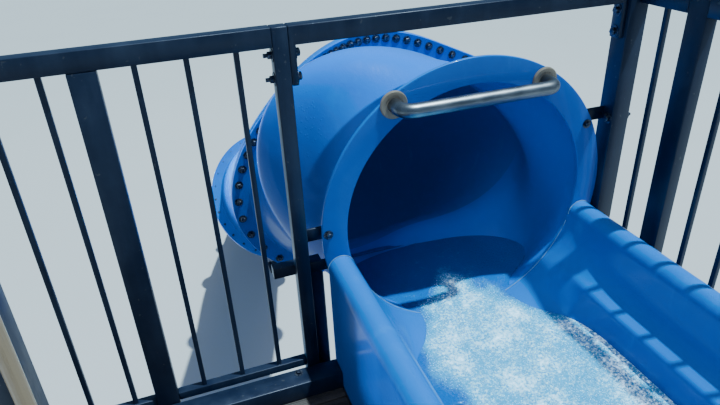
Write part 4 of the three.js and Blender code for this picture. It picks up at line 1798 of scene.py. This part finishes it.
@dataclass
class Fasteners:
    """Bolts on the tube flanges, posts, brackets and base plates.

    The seam's bolts crowd a quarter turn past gather_at, which is in degrees.
    """

    datum: Datum
    rules: Rules
    palette: Palette
    flange: Flange = field(default_factory=Flange)
    shape: HexShape = HexShape()
    bolts: int = 58
    gather: float = 0.62
    gather_at: float = 35.0
    rim: float = 0.043
    phase: float = 0.06
    size: float = 0.0050
    seam_size: float = 0.0085
    stud: float = 0.006
    anchor_reach: float = 0.08
    anchor_size: float = 0.012
    anchor_stud: float = 0.016
    plate: float = 0.015

    def flange_ring(self, index: int) -> list[bpy.types.Object]:
        """Bolts on both faces of one flanged joint.

        Args:
            index: Number of the joint.

        Returns:
            The rings of heads and of nuts.
        """
        joint = JOINTS[index]
        along = joint.direction()
        side = along.cross(UP).normalized()
        up = side.cross(along)
        seam = index == 0
        oval = SEAM if seam else Oval(0.0, 0.0, self.flange.radius, self.flange.radius)
        centre = self.datum.at(joint.x, joint.y, joint.z)
        rings = []
        for way, stud in ((-1.0, 0.0), (1.0, self.stud)):
            if index == len(JOINTS) - 1 and way > 0:
                continue
            piece = self.shape.make("flange_bolt", self.seam_size if seam else self.size, stud)
            rings.append(self.rules.ring.run(
                piece, Count=self.bolts if seam else self.flange.bolts, Side=side, Up=up, Facing=along * way,
                Centre=centre + along * (way * self.flange.thick), **oval.inputs(), Rim=self.rim,
                Phase=self.phase, Gather=self.gather if seam else 0.0,
                Gather_At=math.radians(self.gather_at), Seed=5 + index, Finish=self.palette.zinc))
        return rings

    def placed(self, spot: Vector, facing: Vector, size: float, stud: float = 0.0) -> bpy.types.Object:
        """One bolt at a spot, standing along a direction.

        Args:
            spot: Where it stands, in the part's frame.
            facing: Unit direction that it stands along.
            size: Half the width over the corners.
            stud: Length of thread that shows beyond the nut.

        Returns:
            The object.
        """
        piece = self.shape.make("bolt", size, stud)
        turn = UP.rotation_difference(facing).to_matrix().to_4x4()
        piece.data.transform(Matrix.Translation(spot) @ turn)
        return piece

    def build(self) -> None:
        """Make and deliver all the fasteners."""
        rings = [ring for index in range(len(JOINTS)) for ring in self.flange_ring(index)]
        deliver(merged("flange_bolts", rings), self.palette.zinc)
        bolts = [self.placed(self.datum.at(*bolt.place), bolt.facing, bolt.size, bolt.stud)
                 for bolt in HEADER_BOLTS + BRACKET_BOLTS]
        deliver(merged("post_bolts", bolts), self.palette.zinc)
        self.anchors()

    def anchors(self) -> None:
        """Four anchor bolts on each base plate."""
        sets = []
        names = [f"column_{end}_{side}" for end in ("front", "rear") for side in ("left", "right")]
        names += [f"slide_support_{number}" for number in range(1, 5)]
        for name in names:
            low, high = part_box(name)
            centre, reach = (low + high) / 2, self.anchor_reach
            spot = Vector((centre.x - reach, centre.y - reach, low.z + self.plate))
            piece = self.placed(spot, UP, self.anchor_size, self.anchor_stud)
            sets.append(self.rules.rows.run(
                piece, Rows=2, Row_Step=Vector((2 * reach, 0, 0)), Columns=2,
                Column_Step=Vector((0, 2 * reach, 0)), Shift=Vector(), Seed=1, Finish=self.palette.zinc))
        deliver(merged("anchor_bolts", sets), self.palette.zinc)


@dataclass
class TreadRibs:
    """Raised anti-slip ribs on every tread."""

    datum: Datum
    rules: Rules
    palette: Palette
    top: float = -1.9503
    going: float = 0.255
    rise: float = 2.75 / 14
    treads: int = 13
    left: float = -0.675
    right: float = 0.015
    inset: float = 0.012
    width: float = 0.008
    sink: float = 0.001
    height: float = 0.003
    corner: float = 0.0012
    ribs: int = 7
    pitch: float = 0.033

    def build(self) -> None:
        """Make the ribs and deliver them."""
        at = self.datum.at
        first = self.top - self.going + self.inset
        rib = slab("tread_ribs", at(self.left, first, -self.rise - self.sink),
                   at(self.right, first + self.width, -self.rise + self.height), self.corner)
        self.rules.rows.run(rib, Rows=self.treads, Row_Step=Vector((0, -self.going, -self.rise)),
                            Columns=self.ribs, Column_Step=Vector((0, self.pitch, 0)), Shift=Vector(), Seed=1,
                            Finish=self.palette.paint)
        deliver(tidy(rib, 40), self.palette.paint)


@dataclass(frozen=True)
class Ripple:
    """One layer of waves: its height, its waves in a metre across and along, and its seed."""

    height: float
    across: float
    along: float
    seed: float

    def at(self, u: float, y: float, share: float = 1.0) -> float:
        """Height at a place, or a share of it."""
        return self.height * share * noise.noise(Vector((u * self.across, y * self.along, self.seed)))


@dataclass
class TubWater:
    """The sheet of foaming water that runs along the tub's floor and into the mouth.

    The front line is where the foam ends: offsets from the mouth's middle and places along.
    """

    datum: Datum
    palette: Palette
    tub: StartTub
    elbow: EntryElbow
    rear: float = -1.020
    front: float = 0.400
    rows: int = 300
    columns: int = 120
    middle: float = 0.142
    slope: float = 0.012
    rear_run: Pair = (0.0, 0.7)
    front_run: Pair = (0.05, 0.4)
    shore: float = 0.001
    density: float = 0.70
    lift: float = 0.25
    stray: float = 0.05
    fade: Pair = (0.13, 0.05)
    side_stray: float = 0.03
    side: Pair = (-0.250, -0.150)
    swirl: Ripple = Ripple(1.0, 16.0, 12.0, 0.3)
    patches: Ripple = Ripple(0.45, 6.0, 4.0, 5.1)
    wave: Ripple = Ripple(0.008, 9.0, 4.5, 1.7)
    churn: Ripple = Ripple(0.006, 42.0, 30.0, 4.1)
    beads: Ripple = Ripple(0.0032, 150.0, 130.0, 9.2)
    front_line: tuple[Pair, ...] = ((-0.200, -0.050), (-0.164, 0.000), (-0.074, 0.085), (0.020, 0.185),
                                    (0.053, 0.140), (0.114, 0.040), (0.175, -0.090), (0.320, -0.120))

    def level(self, y: float) -> float:
        """Height of the water's middle along the tub."""
        return (self.middle + self.slope * smooth(-y, *self.rear_run)
                - self.slope * smooth(y, *self.front_run))

    def floor(self, y: float) -> list[Pair]:
        """Right half of the wetted section.

        Args:
            y: Place along the tub.

        Returns:
            Offsets from the mouth's middle and heights.
        """
        if y <= self.tub.front:
            return self.tub.half_at(y, 0.0, 60)
        points = []
        for step in range(61):
            angle = math.radians(mix(-90.0, 0.0, step / 60))
            cx, cz, radius = self.elbow.ring(max(0.0, y), angle)
            radius -= self.elbow.flange.wall if y > 0.0 else self.elbow.clear
            points.append((cx - MOUTH.x + radius * math.cos(angle), cz + radius * math.sin(angle)))
        return points

    def reach(self, y: float, level: float) -> float:
        """Half width of the water at its level.

        Args:
            y: Place along the tub.
            level: Height of the water.

        Returns:
            The half width.
        """
        points = self.floor(y)
        for (u0, z0), (u1, z1) in zip(points, points[1:]):
            if z0 <= level < z1:
                return mix(u0, u1, (level - z0) / (z1 - z0)) - self.shore
        return points[-1][0]

    def foam(self, u: float, y: float) -> float:
        """How much the water foams at a place.

        Args:
            u: Offset from the mouth's middle.
            y: Place along the tub.

        Returns:
            A number from 0 to 1.
        """
        swirl = self.swirl.at(u, y)
        end = self.edge(u) + self.stray * swirl
        reach = 1.0 - smooth(y, end - self.fade[0], end + self.fade[1])
        side = smooth(u + self.side_stray * swirl, *self.side)
        body = self.density + self.patches.at(u, y)
        return max(0.0, min(1.0, body + self.lift)) * reach * side

    def edge(self, u: float) -> float:
        """Where the foam ends towards the slide.

        Args:
            u: Offset from the mouth's middle.

        Returns:
            The place along the tub.
        """
        for (u0, y0), (u1, y1) in zip(self.front_line, self.front_line[1:]):
            if u < u1:
                return mix(y0, y1, max(0.0, (u - u0) / (u1 - u0)))
        return self.front_line[-1][1]

    def height(self, u: float, y: float, foam: float) -> float:
        """Waves and bubbles at a place."""
        return self.wave.at(u, y) + self.churn.at(u, y, foam) + self.beads.at(u, y, foam)

    def build(self) -> None:
        """Make the sheet and deliver it."""
        rows, shares = [], []
        for r in range(self.rows + 1):
            y = mix(self.rear, self.front, r / self.rows)
            level = self.level(y)
            width = self.reach(y, level)
            row = []
            for c in range(self.columns + 1):
                s = mix(-1.0, 1.0, c / self.columns)
                u = s * width
                foam = self.foam(u, y)
                edge = 1.0 - abs(s) ** 6
                row.append(self.datum.at(MOUTH.x + u, y, level + self.height(u, y, foam) * edge))
                shares.append(foam)
            rows.append(row)
        piece = lattice("tub_water", rows, ring=False)
        layer = piece.data.attributes.new("foam", "FLOAT", "POINT")
        layer.data.foreach_set("value", shares)
        for face in piece.data.polygons:
            face.use_smooth = True
        if piece.data.polygons[0].normal.z < 0:
            piece.data.flip_normals()
        deliver(piece, self.palette.water)


@dataclass(frozen=True)
class Lamp:
    """A soft square light, placed and aimed in the deck's frame.

    The size is the side of the square, the power is in watts and the spread of the beam in degrees.
    """

    name: str
    spot: Triple
    aim: Triple
    size: float
    power: float
    colour: Triple = (1.0, 1.0, 1.0)
    spread: float = 180.0


FILL = Lamp("fill", (-6.0, -5.0, 6.5), (0.3, 0.0, 0.4), 6.0, 300.0)
BOUNCE = Lamp("bounce", (-1.3, 4.6, -0.9), (0.0, 0.5, 0.4), 1.5, 190.0, (0.05, 0.80, 1.0), 50.0)
RIM = Lamp("rim", (5.0, 9.0, 7.0), (0.4, 1.5, 0.0), 5.0, 260.0)


@dataclass
class Studio:
    """Floor, lights and the camera of the photograph.

    The focal length and the picture's width are in pixels of the photograph, the angles in degrees.
    """

    datum: Datum
    palette: Palette
    focal: float = 604.39
    yaw: float = 18.335
    pitch: float = 28.774
    roll: float = -2.6535
    eye: Triple = (-0.2774, -1.3729, 1.3654)
    picture: float = 720.0
    sensor: float = 36.0
    clip: Pair = (0.02, 300.0)
    reach: float = 60.0
    ground: float = -0.001
    sun_way: Triple = (-0.305, 0.16, -1.0)
    sun_power: float = 6.2
    sun_width: float = 1.2
    sun_colour: Triple = (0.80, 1.0, 1.06)
    sky: Colour = (0.34, 0.62, 1.0, 1.0)
    sky_strength: float = 0.36
    lamps: tuple[Lamp, ...] = (FILL, BOUNCE, RIM)

    def camera(self) -> None:
        """Place the camera where the photograph was taken."""
        yaw, pitch, roll = (math.radians(value) for value in (self.yaw, self.pitch, self.roll))
        ahead = Vector((math.sin(yaw) * math.cos(pitch), math.cos(yaw) * math.cos(pitch), -math.sin(pitch)))
        right = Vector((math.cos(yaw), -math.sin(yaw), 0.0))
        up = right.cross(ahead)
        across = right * math.cos(roll) + up * math.sin(roll)
        above = up * math.cos(roll) - right * math.sin(roll)
        data = bpy.data.cameras.new("view")
        data.lens = self.focal / self.picture * self.sensor
        data.sensor_width = self.sensor
        data.sensor_fit = "HORIZONTAL"
        data.clip_start, data.clip_end = self.clip
        made = bpy.data.objects.new("view", data)
        bpy.context.scene.collection.objects.link(made)
        frame = Matrix((across, above, -ahead)).transposed().to_4x4()
        made.matrix_world = Matrix.Translation(self.datum.at(*self.eye)) @ frame
        bpy.context.scene.camera = made

    def floor(self) -> None:
        """A wide plain floor at ground level."""
        ways = ((-1, -1), (1, -1), (1, 1), (-1, 1))
        corners = [Vector((x * self.reach, y * self.reach, self.ground)) for x, y in ways]
        made = object_of("studio_floor", corners, [(0, 1, 2, 3)])
        made.data.materials.append(self.palette.floor)

    def lamp(self, lamp: Lamp) -> None:
        """Add a lamp, which isn't seen in reflections.

        Args:
            lamp: Its place, size and light.
        """
        spot, aim = self.datum.at(*lamp.spot), self.datum.at(*lamp.aim)
        data = bpy.data.lights.new(lamp.name, "AREA")
        data.shape, data.size, data.energy, data.color = "SQUARE", lamp.size, lamp.power, lamp.colour
        data.spread = math.radians(lamp.spread)
        made = bpy.data.objects.new(lamp.name, data)
        bpy.context.scene.collection.objects.link(made)
        made.location = spot
        made.visible_glossy = False
        made.rotation_euler = (aim - spot).to_track_quat("-Z", "Y").to_euler()

    def sun(self) -> None:
        """A soft key light, high on the right and a little behind the camera."""
        data = bpy.data.lights.new("key", "SUN")
        data.energy, data.angle, data.color = self.sun_power, math.radians(self.sun_width), self.sun_colour
        made = bpy.data.objects.new("key", data)
        bpy.context.scene.collection.objects.link(made)
        made.rotation_euler = Vector(self.sun_way).to_track_quat("-Z", "Y").to_euler()

    def build(self) -> None:
        """Make the studio."""
        self.camera()
        self.floor()
        self.sun()
        for lamp in self.lamps:
            self.lamp(lamp)
        world = bpy.data.worlds.new("studio")
        world.use_nodes = True
        back = world.node_tree.nodes["Background"]
        back.inputs[0].default_value = self.sky
        back.inputs[1].default_value = self.sky_strength
        bpy.context.scene.world = world


def main() -> None:
    """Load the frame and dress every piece."""
    logging.basicConfig(level=logging.INFO, format="%(name)s %(message)s")
    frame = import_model()
    palette, rules, datum = Palette.mixed(), Rules.built(), Datum.from_frame()
    slots = {part["node"]: Slot(part["material_slot"]) for part in frame["record"]["subparts"]}
    for name, node in frame["nodes"].items():
        node.data.materials.clear()
        node.data.materials.append(palette.of_slot(slots[name]))
    tub, elbow = StartTub(datum, palette), EntryElbow(datum, palette)
    Studio(datum, palette).build()
    for builder in (tub, elbow, Mouth(datum, rules, palette), TubeRun(datum, rules, palette),
                    ExitTrough(datum, palette), GrabBar(datum, palette), Deck(datum, rules, palette),
                    Fasteners(datum, rules, palette), TreadRibs(datum, rules, palette),
                    TubWater(datum, palette, tub, elbow)):
        builder.build()
    steel = [name for name, slot in slots.items() if slot is Slot.PAINT]
    Steelwork(palette, frame["nodes"]).build(steel)


if __name__ == "__main__":
    main()
